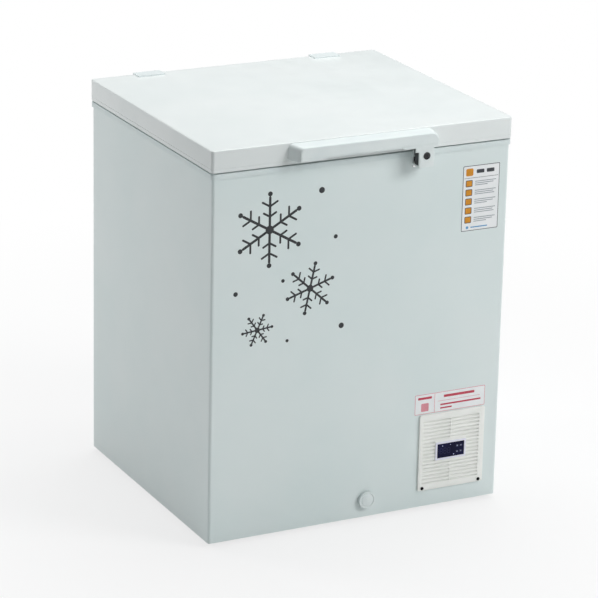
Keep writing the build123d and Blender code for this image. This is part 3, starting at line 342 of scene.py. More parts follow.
# Each finish of this freezer: what it is made of, its two tones and what sets it apart
RECIPES = {
    "coated_cabinet_steel": (coated_steel, "#DCE8E7", "#E0EAE9"),
    # The lid's paint is toned lighter and less tinted than the cabinet's: painted light for the light that
    # falls on the lid's top
    "coated_lid_steel_painted_light": (coated_steel, "#E5EBEA", "#E9EEED", 0.34),
    "coated_hinge_steel": (coated_steel, "#DDE6E7", "#E3EBEB"),
    "black_stoved_steel": (coated_steel, "#0F1012", "#17181B", 0.34, 3.0),
    "black_lock_enamel": (coated_steel, "#0C0D10", "#14151A", 0.22, 1.5),
    "coated_rear_steel": (galvanised_steel, "#9AA0A3", "#B4B9BB"),
    "zinc_plated_steel": (galvanised_steel, "#A2A6A9", "#BCBFC1", 0.36),
    "plated_screw_steel": (machined_metal, "#A9A9A6", "#C2C2BE", 0.3),
    "blackened_screw_steel": (machined_metal, "#1B1B1D", "#2A2A2C", 0.4),
    "bright_plated_steel": (machined_metal, "#C4C6C8", "#DCDEDF", 0.16),
    "oiled_spring_steel": (machined_metal, "#5E6063", "#77797C", 0.32),
    "rolled_aluminium": (rolled_metal, "#C7CBCD", "#DADDDE", 0.34),
    "stamped_aluminium": (rolled_metal, "#BCC0C2", "#D2D5D6", 0.3, (24, 1, 1)),
    "cast_motor_aluminium": (rolled_metal, "#7B7E80", "#94979A", 0.5, (1, 1, 1), 3, 0.08),
    "copper_tube": (drawn_copper, "#8E4E33", "#C9805C"),
    "black_foot_rubber": (soft_rubber, "#17181A", "#24262A"),
    "black_seal_rubber": (soft_rubber, "#121314", "#1E1F22"),
    "grey_gasket_rubber": (soft_rubber, "#AEB3B5", "#C1C6C8", 0.6),
    "white_abs": (moulded_plastic, "#DFE8E8", "#E4ECEB", 0.36),
    # The collar's plastic is toned darker than the other white ABS: painted shade for the band under the
    # lid's overhang
    "collar_abs_painted_shade": (moulded_plastic, "#D7E3E3", "#DDE7E6", 0.4),
    "grille_abs": (moulded_plastic, "#F1F3EE", "#F6F7F3", 0.42),
    "bezel_abs": (moulded_plastic, "#E4E4F2", "#EAEAF6", 0.35),
    "dark_abs": (moulded_plastic, "#23252B", "#2C2E34", 0.42),
    "black_abs": (moulded_plastic, "#101113", "#191A1D", 0.4),
    "fan_polypropylene": (moulded_plastic, "#1B1C1F", "#26272B", 0.5),
    "key_film": (moulded_plastic, "#15173A", "#1A1C42", 0.28, 0.6, 0.01),
    "navy_screen_acrylic": (tinted_acrylic, "#0C0D30", "#12133A"),
    "clear_pilot_lens": (pilot_light, "#AEB6DA", "#AEB6DA"),
    "green_board": (circuit_board, "#1E6B3E", "#226F44", "#2F8F5B"),
    "poured_foam": (rigid_foam, "#DCCB95", "#EADFB4"),
    "white_sticker_film": (sticker_film, "#EDF0F1", "#F2F4F5"),
    "charcoal_print": (screen_ink, "#303234", "#393B3D"),
    "black_print": (screen_ink, "#3A3E42", "#44484C"),
    "grey_print": (screen_ink, "#8A9298", "#959DA2"),
    "amber_print": (screen_ink, "#D08A1E", "#DD962A"),
    "red_print": (screen_ink, "#B83A4C", "#C64658"),
    "rose_print": (screen_ink, "#D98C98", "#E09AA4"),
    "blue_print": (screen_ink, "#5C9CCB", "#6AA7D3"),
    "pale_key_print": (screen_ink, "#9CA6C8", "#A9B2D2"),
    "dim_digit_print": (screen_ink, "#1D1F4C", "#222455"),
}
SLOT_FINISH = {
    "painted_white": "coated_cabinet_steel",
    "rear_steel": "coated_rear_steel",
    "zinc_steel": "zinc_plated_steel",
    "screw_steel": "plated_screw_steel",
    "dark_screw": "blackened_screw_steel",
    "foot_rubber": "black_foot_rubber",
    "black_rubber": "black_seal_rubber",
    "grey_rubber": "grey_gasket_rubber",
    "tank_aluminium": "rolled_aluminium",
    "fin_aluminium": "stamped_aluminium",
    "copper": "copper_tube",
    "white_plastic": "white_abs",
    "grille_plastic": "grille_abs",
    "dark_plastic": "dark_abs",
    "black_plastic": "black_abs",
    "fan_plastic": "fan_polypropylene",
    "key_plastic": "key_film",
    "display_glass": "navy_screen_acrylic",
    "board_green": "green_board",
    "foam": "poured_foam",
    "motor_steel": "cast_motor_aluminium",
    "black_steel": "black_stoved_steel",
    "lock_black": "black_lock_enamel",
    "bright_steel": "bright_plated_steel",
    "spring_steel": "oiled_spring_steel",
    "hinge_steel": "coated_hinge_steel",
}
NODE_FINISH = {
    "lid_shell": "coated_lid_steel_painted_light",
    # The collar's finish is darkened as painted shade under the lid
    "top_collar": "collar_abs_painted_shade",
    "controller_housing": "bezel_abs",
}


def finish(name):
    """The finish of that name, made when it is first asked for."""
    recipe, *choices = RECIPES[name]
    return bpy.data.materials.get(name) or recipe(name, *choices)


# Modelling by hand, in edit mode


def only(piece):
    """Makes one object the only selected and active one."""
    bpy.ops.object.select_all(action="DESELECT")
    piece.select_set(True)
    bpy.context.view_layer.objects.active = piece


def object_mode():
    """Leaves edit mode."""
    if bpy.context.mode != "OBJECT":
        bpy.ops.object.mode_set(mode="OBJECT")


def edit(piece):
    """Opens a piece in edit mode, unless it is open."""
    if bpy.context.mode != "EDIT_MESH":
        only(piece)
        bpy.ops.object.mode_set(mode="EDIT")


def place_primitive(name, scale=(1, 1, 1)):
    """Names the primitive just added, and applies its size and place to its mesh."""
    piece = bpy.context.object
    piece.name = piece.data.name = name
    piece.scale = scale
    bpy.ops.object.transform_apply(location=True, rotation=True, scale=True)
    return piece


def block(name, low, high):
    """A cube primitive, set to the size and place of a box."""
    object_mode()
    bpy.ops.object.select_all(action="DESELECT")
    bpy.ops.mesh.primitive_cube_add(size=1.0, location=[(a + b) / 2 for a, b in zip(low, high)])
    return place_primitive(name, [abs(b - a) for a, b in zip(low, high)])


def round_bar(name, radius, start, end, centre, sides=48):
    """A cylinder primitive along Y, between two values of Y, round the point (x, z)."""
    object_mode()
    bpy.ops.object.select_all(action="DESELECT")
    bpy.ops.mesh.primitive_cylinder_add(
        vertices=sides,
        radius=radius,
        depth=abs(end - start),
        location=(centre[0], (start + end) / 2, centre[1]),
        rotation=(pi / 2, 0, 0),
    )
    return place_primitive(name)


def pick(piece, kind, test):
    """In edit mode, selects the faces or edges whose middle and direction pass a test."""
    edit(piece)
    bpy.ops.mesh.select_mode(type=kind)
    bpy.ops.mesh.select_all(action="DESELECT")
    shape = bmesh.from_edit_mesh(piece.data)
    if kind == "FACE":
        for face in shape.faces:
            if test(face.calc_center_median(), face.normal):
                face.select_set(True)
    else:
        for edge in shape.edges:
            a, b = (corner.co for corner in edge.verts)
            if test((a + b) / 2, (b - a).normalized()):
                edge.select_set(True)
    bmesh.update_edit_mesh(piece.data)


def along_y(middle, along):
    """Whether an edge runs along Y."""
    return abs(along.y) > 0.9


def faces_front(middle, normal):
    """Whether a face looks forward."""
    return normal.y < -0.9


def round_edges(piece, width, segments, test):
    """Rounds the edges that pass a test, or chamfers them with one segment."""
    pick(piece, "EDGE", test)
    bpy.ops.mesh.bevel(offset=width, segments=segments, affect="EDGES")


def sink_front(piece, border, depth):
    """Insets the front faces by a border and moves what is inside it back by a depth."""
    pick(piece, "FACE", faces_front)
    bpy.ops.mesh.inset(thickness=border)
    bpy.ops.transform.translate(value=(0, depth, 0))


def extrude_y(depth):
    """Extrudes the selected faces along Y."""
    bpy.ops.mesh.extrude_region_move(TRANSFORM_OT_translate={"value": (0, depth, 0)})


def cut(piece, point, normal):
    """In edit mode, cuts the whole mesh along a plane and keeps both sides."""
    edit(piece)
    bpy.ops.mesh.select_all(action="SELECT")
    bpy.ops.mesh.bisect(plane_co=point, plane_no=normal)


def modify(piece, kind, **settings):
    """Adds a modifier and applies it."""
    object_mode()
    only(piece)
    modifier = piece.modifiers.new(kind.title(), kind)
    for name, value in settings.items():
        setattr(modifier, name, value)
    bpy.ops.object.modifier_apply(modifier=modifier.name)


def combine(piece, tool, operation="DIFFERENCE"):
    """Takes a tool's shape out of a piece, or adds it with UNION, and removes the tool."""
    modify(piece, "BOOLEAN", object=tool, operation=operation, solver="EXACT")
    bpy.data.objects.remove(tool)


def copy_of(piece, name, shift):
    """A copy with its own mesh, moved by a shift."""
    twin = piece.copy()
    twin.data = piece.data.copy()
    twin.name = twin.data.name = name
    bpy.context.collection.objects.link(twin)
    twin.data.transform(Matrix.Translation(shift))
    return twin


def join(pieces, name):
    """Joins pieces of one finish into one object."""
    object_mode()
    bpy.ops.object.select_all(action="DESELECT")
    for piece in pieces:
        piece.select_set(True)
    bpy.context.view_layer.objects.active = pieces[0]
    if len(pieces) > 1:
        bpy.ops.object.join()
    pieces[0].name = pieces[0].data.name = name
    return pieces[0]


def finish_piece(piece, body, material, nodes=(), clean=True):
    """Closes a piece: normals, smooth shading by angle, material, and the body that it rides."""
    object_mode()
    only(piece)
    if clean:
        bpy.ops.object.mode_set(mode="EDIT")
        bpy.ops.mesh.select_all(action="SELECT")
        bpy.ops.mesh.remove_doubles(threshold=0.002 * MM)
        bpy.ops.mesh.normals_make_consistent(inside=False)
        bpy.ops.object.mode_set(mode="OBJECT")
    bpy.ops.object.shade_smooth_by_angle(angle=radians(35))
    piece.data.materials.clear()
    piece.data.materials.append(finish(material))
    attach(piece, body)
    if nodes:
        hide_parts(*nodes)


def plate(name, left, right, low, high, face, thick, corner=0.0):
    """A thin plate that stands on a face looking forward, with rounded corners where asked."""
    sheet = block(name, (left, face - thick, low), (right, face, high))
    if corner > 0:
        round_edges(sheet, corner, 5, along_y)
    return sheet


def centre_of(node):
    """The middle of a node's box as the front shows it, (x, z)."""
    low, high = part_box(node)
    return (low.x + high.x) / 2, (low.z + high.z) / 2


def scene_settings():
    """The sizes and colours that the panel shows."""
    return bpy.context.scene.freezer_dress


class FreezerDress(bpy.types.PropertyGroup):
    """Sizes and colours of the freezer's dressed pieces and of its studio."""

    lid_edge: bpy.props.FloatProperty(
        name="Lid edge", description="Rounding of the lid's upper edge", default=2.6 * MM, unit="LENGTH"
    )
    lid_corner: bpy.props.FloatProperty(
        name="Lid corner", description="Rounding of the lid's upright corners", default=7.0 * MM,
        unit="LENGTH",
    )
    hem_height: bpy.props.FloatProperty(
        name="Hem height", description="Height of the fold line over the lid's lower edge", default=7.6 * MM,
        unit="LENGTH",
    )
    hem_groove: bpy.props.FloatProperty(
        name="Hem groove", description="Width of the fold line", default=0.9 * MM, unit="LENGTH"
    )
    grille_slots: bpy.props.IntProperty(
        name="Grille slots", description="Number of slots, one over another", default=18, min=1, max=40
    )
    slot_pitch: bpy.props.FloatProperty(
        name="Slot pitch", description="Height from one slot to the next", default=8.15 * MM, unit="LENGTH"
    )
    slot_height: bpy.props.FloatProperty(
        name="Slot height", description="Height of one slot", default=3.2 * MM, unit="LENGTH"
    )
    print_height: bpy.props.FloatProperty(
        name="Print height", description="How far prints stand on what carries them", default=0.12 * MM,
        unit="LENGTH",
    )
    floor_tint: bpy.props.FloatVectorProperty(
        name="Floor tint", description="Colour of the floor", default=(0.86, 0.86, 0.86), size=3,
        subtype="COLOR", min=0.0, max=1.0,
    )
    key_power: bpy.props.FloatProperty(
        name="Key light", description="Power of the front softbox", default=130.0, unit="POWER"
    )
    side_power: bpy.props.FloatProperty(
        name="Side light", description="Power of the softbox at the rear left", default=16.0, unit="POWER"
    )
    top_power: bpy.props.FloatProperty(
        name="Top light", description="Power of the overhead softbox", default=75.0, unit="POWER"
    )


class FREEZER_OT_finishes(bpy.types.Operator):
    """Gives every carried-over node the finish of its material slot"""

    bl_idname = "freezer.finishes"
    bl_label = "Finish the carried-over nodes"

    def execute(self, context):
        slots = {part["node"]: part["material_slot"] for part in frame["record"]["subparts"]}
        for name, node in frame["nodes"].items():
            chosen = NODE_FINISH.get(name) or SLOT_FINISH[slots[name]]
            node.data.materials.clear()
            node.data.materials.append(finish(chosen))
        return {"FINISHED"}


class FREEZER_OT_lid(bpy.types.Operator):
    """Models the lid's painted shell, with its rounded edges and the fold line of its hem"""

    bl_idname = "freezer.lid"
    bl_label = "Lid shell"

    def execute(self, context):
        look = scene_settings()
        groove_depth = 0.5 * MM
        rim_width = 8 * MM
        sheet = 0.8 * MM
        low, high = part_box("lid_shell")
        lid = block("lid_skin", low, high)
        round_edges(lid, look.lid_corner, 8, lambda middle, along: abs(along.z) > 0.9)
        round_edges(
            lid, look.lid_edge, 5, lambda middle, along: middle.z > high.z - MM and abs(along.z) < 0.1
        )
        seam = low.z + look.hem_height
        for level in (seam, seam + look.hem_groove):
            cut(lid, (0, 0, level), (0, 0, 1))
        pick(lid, "FACE", lambda middle, normal: seam < middle.z < seam + look.hem_groove)
        bpy.ops.mesh.extrude_region_shrink_fatten(TRANSFORM_OT_shrink_fatten={"value": -groove_depth})
        # The underside is open inside its rim, where the foam and the inner panel are
        pick(lid, "FACE", lambda middle, normal: normal.z < -0.9 and middle.z < low.z + MM)
        bpy.ops.mesh.inset(thickness=rim_width)
        bpy.ops.mesh.delete(type="FACE")
        modify(lid, "SOLIDIFY", thickness=sheet, offset=-1.0, use_even_offset=True)
        # This finish carries painted light: a lighter tone than the cabinet's paint, standing in for the lit
        # top
        finish_piece(lid, "lid", "coated_lid_steel_painted_light", ["lid_shell"], clean=False)
        return {"FINISHED"}


class FREEZER_OT_handle(bpy.types.Operator):
    """Models the hollow handle with its flared ends, its grip notch and the lock block under it"""

    bl_idname = "freezer.handle"
    bl_label = "Handle and lock block"

    def execute(self, context):
        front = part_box("handle")[0].y
        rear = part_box("lid_shell")[0].y
        wall = 3 * MM
        grip = self.grip(front, rear, wall)
        combine(grip, self.post(front, rear, wall), "UNION")
        finish_piece(grip, "lid", "white_abs", ["handle"])
        return {"FINISHED"}

    def grip(self, front, rear, wall):
        """The long hollow bar, open below where fingers reach in."""
        left, right = -162 * MM, 153 * MM
        low, high = 816 * MM, 845 * MM
        middle_z = (low + high) / 2
        flare = 21 * MM
        flare_shift = -3.5 * MM
        rear_rise = 2.5 * MM
        under = low - 9 * MM
        bar = block("handle_grip", (left, front, low), (right, rear, high))
        # The rear face is wider and higher than the front: the ends flare out to the lid
        pick(bar, "FACE", lambda middle, normal: normal.y > 0.9)
        width = right - left
        bpy.ops.transform.resize(
            value=((width + flare) / width, 1, 1), center_override=((left + right) / 2, rear, low)
        )
        bpy.ops.transform.translate(value=(flare_shift, 0, 0))
        pick(bar, "EDGE", lambda middle, along: middle.z > high - MM and middle.y > rear - MM)
        bpy.ops.transform.translate(value=(0, 0, rear_rise))

        def upper_end(side):
            return lambda middle, along: middle.z > middle_z and middle.x * side > 0 and abs(along.y) > 0.5

        round_edges(bar, 19 * MM, 12, upper_end(1))
        round_edges(bar, 11 * MM, 8, upper_end(-1))
        round_edges(bar, 2.6 * MM, 5, lambda middle, along: middle.y < front + MM and middle.z > low + MM)
        round_edges(
            bar, 1.4 * MM, 3,
            lambda middle, along: middle.y < front + MM and middle.z < low + MM and abs(along.x) > 0.9,
        )
        room_back = rear - wall
        room = block("grip_room", (left + wall, front + wall, under), (right - wall, room_back, high - wall))
        round_edges(room, 9 * MM, 6, lambda middle, along: middle.z > middle_z and abs(along.y) > 0.5)
        combine(bar, room)
        notch_left, notch_right, notch_top = -105 * MM, 71 * MM, low + 4 * MM
        combine(bar, block("notch", (notch_left, front - 5 * MM, under), (notch_right, room_back, notch_top)))
        line_low, line_high, line_depth, line_inset = low + 6.2 * MM, low + 6.9 * MM, 0.5 * MM, 6 * MM
        line = block(
            "trim_line",
            (left + line_inset, front - MM, line_low),
            (right - line_inset, front + line_depth, line_high),
        )
        combine(bar, line)
        return bar

    def post(self, front, rear, wall):
        """The lock block: a hollow post with a shoulder, open where the lock's cam swings out."""
        lock_x, lock_z = centre_of("lock_cylinder")
        low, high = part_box("handle")[0].z, 819 * MM
        back = rear - 2 * MM
        beyond = rear + 5.5 * MM
        half_width = 17.5 * MM
        half_room = 15 * MM
        hole_radius = 7.8 * MM
        post = block("lock_post", (lock_x - half_width, front, low), (lock_x + half_width, back, high))
        round_edges(post, 1.6 * MM, 4, lambda middle, along: middle.z < 800 * MM or abs(along.z) > 0.9)
        step_left, step_low = lock_x - 25.5 * MM, 807 * MM
        step = block("post_shoulder", (step_left, front, step_low), (lock_x - 16 * MM, back, high - 0.5 * MM))
        round_edges(
            step, 1.2 * MM, 3,
            lambda middle, along: middle.x < step_left + 0.5 * MM or middle.z < step_low + MM,
        )
        combine(post, step, "UNION")
        for name, start, end in (
            ("post_room", (-half_room, front + wall, 776.5 * MM), (half_room, beyond, 826 * MM)),
            ("post_floor_slot", (-half_room, rear - 10 * MM, 770 * MM), (half_room, beyond, 780 * MM)),
            ("post_side_slot", (-34 * MM, front + wall, 778 * MM), (-9 * MM, rear - 4.5 * MM, 814 * MM)),
        ):
            combine(post, block(name, (lock_x + start[0],) + start[1:], (lock_x + end[0],) + end[1:]))
        combine(post, round_bar("barrel_hole", hole_radius, front - MM, front + 6 * MM, (lock_x, lock_z)))
        return post


class FREEZER_OT_lock(bpy.types.Operator):
    """Models the lock's barrel: a rim, a sunk face with a keyway, and the stud behind it"""

    bl_idname = "freezer.lock"
    bl_label = "Lock barrel"

    def execute(self, context):
        low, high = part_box("lock_cylinder")
        centre = centre_of("lock_cylinder")
        case_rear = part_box("lock_case")[1].y
        key_width, key_height = 1.6 * MM, 5.2 * MM
        nut_depth = 2.6 * MM
        barrel = round_bar("lock_barrel", 7.75 * MM, low.y, case_rear, centre, 56)
        sink_front(barrel, 1.7 * MM, 0.7 * MM)
        bpy.ops.mesh.inset(thickness=2.4 * MM)
        extrude_y(-0.5 * MM)
        round_edges(
            barrel, 0.5 * MM, 3, lambda middle, along: middle.y < low.y + 0.1 * MM and abs(along.y) < 0.1
        )
        keyway = block(
            "keyway",
            (centre[0] - key_width / 2, low.y - MM, centre[1] - key_height / 2),
            (centre[0] + key_width / 2, low.y + 5 * MM, centre[1] + key_height / 2),
        )
        combine(barrel, keyway)
        stud = round_bar("lock_stud", 3 * MM, case_rear - MM, high.y, centre, 32)
        nut = round_bar("lock_nut", 5.2 * MM, high.y - nut_depth, high.y, centre, 6)
        barrel = join([barrel, stud, nut], "lock_barrel")
        finish_piece(barrel, "lock", "black_lock_enamel", ["lock_cylinder"], clean=False)
        return {"FINISHED"}


class FREEZER_OT_grille(bpy.types.Operator):
    """Models the grille: a frame, an upright rib, rows of slots each side and a sloping blade in each"""

    bl_idname = "freezer.grille"
    bl_label = "Grille"

    def execute(self, context):
        look = scene_settings()
        low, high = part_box("front_grille")
        x, z = centre_of("display_window")
        half_rib = 1.2 * MM
        first_sill = low.z + 14.4 * MM
        # Slots run from the left border to the rib and from the rib to the right border
        columns = [(low.x + 8.4 * MM, x - half_rib), (x + half_rib, high.x - 13.3 * MM)]
        sills = [first_sill + slot * look.slot_pitch for slot in range(look.grille_slots)]
        rows = [(sill, sill + look.slot_height) for sill in sills]
        # The plain field round the controller, and the hole that its bezel covers
        field = (x - 37.6 * MM, x + 37.6 * MM, z - 21 * MM, z + 21 * MM)
        hole = (x - 34 * MM, x + 34 * MM, z - 18 * MM, z + 18 * MM)
        panel = self.panel(low, high, columns, rows, field, hole)
        blades = self.blades(low.y, x, columns, rows, field)
        grille = join([panel] + blades, "louvred_grille")
        finish_piece(grille, "cabinet", "grille_abs", ["front_grille"], clean=False)
        return {"FINISHED"}

    def panel(self, low, high, columns, rows, field, hole):
        """The slotted front: a plane with round corners, cut into cells, opened and given its thickness."""
        middle = (low + high) / 2
        object_mode()
        bpy.ops.object.select_all(action="DESELECT")
        bpy.ops.mesh.primitive_plane_add(
            size=1.0, location=(middle.x, low.y, middle.z), rotation=(pi / 2, 0, 0)
        )
        panel = place_primitive("grille_panel", (high.x - low.x, high.z - low.z, 1.0))
        edit(panel)
        bpy.ops.mesh.select_mode(type="VERT")
        bpy.ops.mesh.select_all(action="SELECT")
        bpy.ops.mesh.bevel(offset=4 * MM, segments=6, affect="VERTICES")
        for x in [x for column in columns for x in column] + list(field[:2]):
            cut(panel, (x, 0, 0), (1, 0, 0))
        for z in [z for row in rows for z in row]:
            cut(panel, (0, 0, z), (0, 0, 1))
        for x in hole[:2]:
            cut(panel, (x, 0, 0), (1, 0, 0))
        for z in hole[2:]:
            cut(panel, (0, 0, z), (0, 0, 1))

        def inside(point, area):
            return area[0] < point.x < area[1] and area[2] < point.z < area[3]

        def open_face(middle, normal):
            in_slot = any(start < middle.x < end for start, end in columns) and any(
                sill < middle.z < head for sill, head in rows
            )
            return inside(middle, hole) or (in_slot and not inside(middle, field))

        pick(panel, "FACE", open_face)
        bpy.ops.mesh.delete(type="FACE")
        bpy.ops.mesh.select_mode(type="VERT")
        bpy.ops.mesh.select_all(action="SELECT")
        bpy.ops.mesh.dissolve_limited(angle_limit=radians(1))
        bpy.ops.mesh.normals_make_consistent(inside=False)
        modify(panel, "SOLIDIFY", thickness=high.y - low.y, offset=-1.0)
        # A flat plane's normals may face either way, so the panel is set back on its front
        front = min(corner.co.y for corner in panel.data.vertices)
        panel.data.transform(Matrix.Translation((0, low.y - front, 0)))
        modify(panel, "BEVEL", width=0.55 * MM, segments=2, limit_method="ANGLE", angle_limit=radians(50))
        return panel

    def blades(self, front, middle, columns, rows, field):
        """One blade behind each slot, leaning back as it rises, short of the plain field."""
        overlap = 0.4 * MM
        lean = 1.8 * MM
        start_depth, end_depth = 1.7 * MM, 2.3 * MM
        drop_low, drop_high = 1.0 * MM, 0.9 * MM
        blades = []
        for sill, head in rows:
            for start, end in columns:
                if field[2] < (sill + head) / 2 < field[3]:
                    if end < middle:
                        end = field[0]
                    else:
                        start = field[1]
                blade = block(
                    "blade",
                    (start - overlap, front + start_depth, sill - drop_low),
                    (end + overlap, front + end_depth, head - drop_high),
                )
                pick(blade, "FACE", lambda middle, normal: normal.z > 0.9)
                bpy.ops.transform.translate(value=(0, lean, 0))
                blades.append(blade)
        return blades


class FREEZER_OT_controller_marks(bpy.types.Operator):
    """Adds the prints on the controller: unlit digits, pilot lamps and one mark on each key"""

    bl_idname = "freezer.controller_marks"
    bl_label = "Controller marks"

    def execute(self, context):
        thick = scene_settings().print_height
        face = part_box("display_window")[0].y
        middle_x, middle_z = centre_of("display_window")

        # Three digits of seven bars each, placed from the middle of their digit in millimetres
        stroke, length = 0.75 * MM, 5 * MM
        digit_x, digit_pitch, digit_z = middle_x - 23 * MM, 9.2 * MM, middle_z - MM
        level_bars = [(0, 6), (0, 0), (0, -6)]
        upright_bars = [(-3, 3), (3, 3), (-3, -3), (3, -3)]
        digits = []
        for digit in range(3):
            for dx, dz in level_bars + upright_bars:
                wide, tall = (length, stroke) if (dx, dz) in level_bars else (stroke, length)
                x, z = digit_x + digit * digit_pitch + dx * MM, digit_z + dz * MM
                bar = plate("segment", x - wide / 2, x + wide / 2, z - tall / 2, z + tall / 2, face, thick)
                round_edges(bar, 0.36 * MM, 1, along_y)
                digits.append(bar)
        finish_piece(join(digits, "unlit_digits"), "cabinet", "dim_digit_print", clean=False)

        lamps = []
        for dx, dz, radius in ((-20, 10.5, 0.9), (-1, 11.5, 0.9), (7.5, -11.5, 1.1)):
            centre = (middle_x + dx * MM, middle_z + dz * MM)
            lamp = round_bar("lamp", radius * MM, face - 2 * thick, face, centre, 20)
            sink_front(lamp, 0.35 * MM, -0.15 * MM)
            lamps.append(lamp)
        finish_piece(join(lamps, "pilot_lamps"), "cabinet", "clear_pilot_lens", clean=False)

        # One mark for each key: a disc, two arrowheads and a square on its corner
        for key, corners, turn in (
            ("key_set", 20, 0), ("key_up", 3, 0), ("key_mute", 4, 45), ("key_down", 3, 180),
        ):
            x, z = centre_of(key)
            key_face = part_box(key)[0].y
            mark = round_bar(f"{key}_mark", 1.45 * MM, key_face - thick, key_face, (x, z), corners)
            spin = Matrix.Rotation(radians(turn), 4, "Y")
            mark.data.transform(Matrix.Translation((x, 0, z)) @ spin @ Matrix.Translation((-x, 0, -z)))
            sink_front(mark, 0.3 * MM, 0.05 * MM)
            finish_piece(mark, key, "pale_key_print", clean=False)
        return {"FINISHED"}


class FREEZER_OT_stickers(bpy.types.Operator):
    """Adds the two stickers: a blank stock card at the upper right and a blank note card over the grille"""

    bl_idname = "freezer.stickers"
    bl_label = "Stickers"

    def execute(self, context):
        self.thick = scene_settings().print_height
        self.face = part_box("outer_wrap")[0].y
        self.film_thick = 1.4 * self.thick
        self.film_face = self.face - self.film_thick
        self.stock_card()
        self.note_card()
        return {"FINISHED"}

    def card(self, name, left, right, low, high, edge, rim_print):
        """A blank card: its printed rim and the white film inside it."""
        rim = plate(f"{name}_rim", left, right, low, high, self.face, self.thick, 2 * MM)
        finish_piece(rim, "cabinet", rim_print)
        film = plate(
            name, left + edge, right - edge, low + edge, high - edge, self.face, self.film_thick, 1.4 * MM
        )
        finish_piece(film, "cabinet", "white_sticker_film")

    def mark(self, left, right, low, high, corner=0.0, share=1.0):
        """One plain printed mark on the film, with its share of a print's full height."""
        return plate("mark", left, right, low, high, self.film_face, share * self.thick, corner)

    def ink(self, marks, name, colour):
        """Joins the marks of one ink."""
        finish_piece(join(marks, name), "cabinet", colour, clean=False)

    def stock_card(self):
        """Upper card: dark rim, a column of plain squares with ruled lines beside them."""
        left, right, low, high = 231.3 * MM, 318.2 * MM, 613 * MM, 754 * MM
        rule = high - 27 * MM
        bottom = 16 * MM
        row_count = 5
        self.card("stock_card", left, right, low, high, 1.3 * MM, "black_print")
        dark = [self.mark(left + 3 * MM, right - 3 * MM, rule, rule + 0.8 * MM)]
        amber = [self.mark(left + 7 * MM, left + 24 * MM, rule + 5 * MM, high - 6 * MM, 3 * MM)]
        grey = []
        bar_inset, bar_corner = 9.5 * MM, 1.5 * MM
        for start, end in ((left + 32 * MM, left + 50 * MM), (left + 56 * MM, left + 74 * MM)):
            dark.append(self.mark(start, end, rule + bar_inset, high - bar_inset, bar_corner))
        pitch = (rule - low - bottom) / row_count
        square_left, square_right, half, rim = left + 7 * MM, left + 23 * MM, 7.2 * MM, 1.5 * MM
        line_left, half_line = left + 29 * MM, 0.75 * MM
        for row in range(row_count):
            z = rule - (row + 0.5) * pitch - 1.5 * MM
            dark.append(self.mark(square_left, square_right, z - half, z + half, 2 * MM, 0.6))
            inner = half - rim
            amber.append(self.mark(square_left + rim, square_right - rim, z - inner, z + inner, 1.4 * MM))
            for rise, length in ((3.6, 50), (-0.4, 44), (-4.4, 47 if row % 2 else 30)):
                line_z, line_right = z + rise * MM, line_left + length * MM
                grey.append(self.mark(line_left, line_right, line_z - half_line, line_z + half_line))
        self.ink(dark, "stock_card_dark_print", "black_print")
        self.ink(amber, "stock_card_amber_print", "amber_print")
        self.ink(grey, "stock_card_ruled_lines", "grey_print")
        foot, dot_radius = low + 7.5 * MM, 3.2 * MM
        dot_centre = (left + 14 * MM, foot)
        dot = round_bar("dot", dot_radius, self.film_face - self.thick, self.film_face, dot_centre, 32)
        line = self.mark(left + 22 * MM, left + 62 * MM, foot - 1.2 * MM, foot + 1.2 * MM, 0.8 * MM)
        self.ink([dot, line], "stock_card_blue_print", "blue_print")

    def note_card(self):
        """Lower card: red rim, a divided cell and ruled lines."""
        left, right, low, high = 136.4 * MM, 305.2 * MM, 219.5 * MM, 264 * MM
        divider = 183.5 * MM
        self.card("note_card", left, right, low, high, 1.1 * MM, "rose_print")
        rose = [
            self.mark(divider - 0.5 * MM, divider + 0.5 * MM, low + 1.5 * MM, high - 1.5 * MM),
            self.mark(divider + 8 * MM, right - 12 * MM, low + 24.1 * MM, low + 24.9 * MM),
        ]
        red = [
            self.mark(left + 7 * MM, divider - 7 * MM, high - 11.5 * MM, high - 6.5 * MM, MM),
            self.mark(divider + 22 * MM, right - 26 * MM, high - 13 * MM, high - 7.5 * MM, MM),
            self.mark(divider + 14 * MM, right - 10 * MM, low + 14.1 * MM, low + 17.7 * MM, 0.8 * MM),
            self.mark(divider + 14 * MM, divider + 42 * MM, low + 6.5 * MM, low + 9.7 * MM, 0.8 * MM),
        ]
        square = self.mark(left + 15 * MM, left + 33 * MM, low + 6 * MM, low + 24 * MM, 2 * MM)
        sink_front(square, 2.2 * MM, 0.5 * self.thick)
        rose.append(square)
        self.ink(rose, "note_card_rose_print", "rose_print")
        self.ink(red, "note_card_red_print", "red_print")


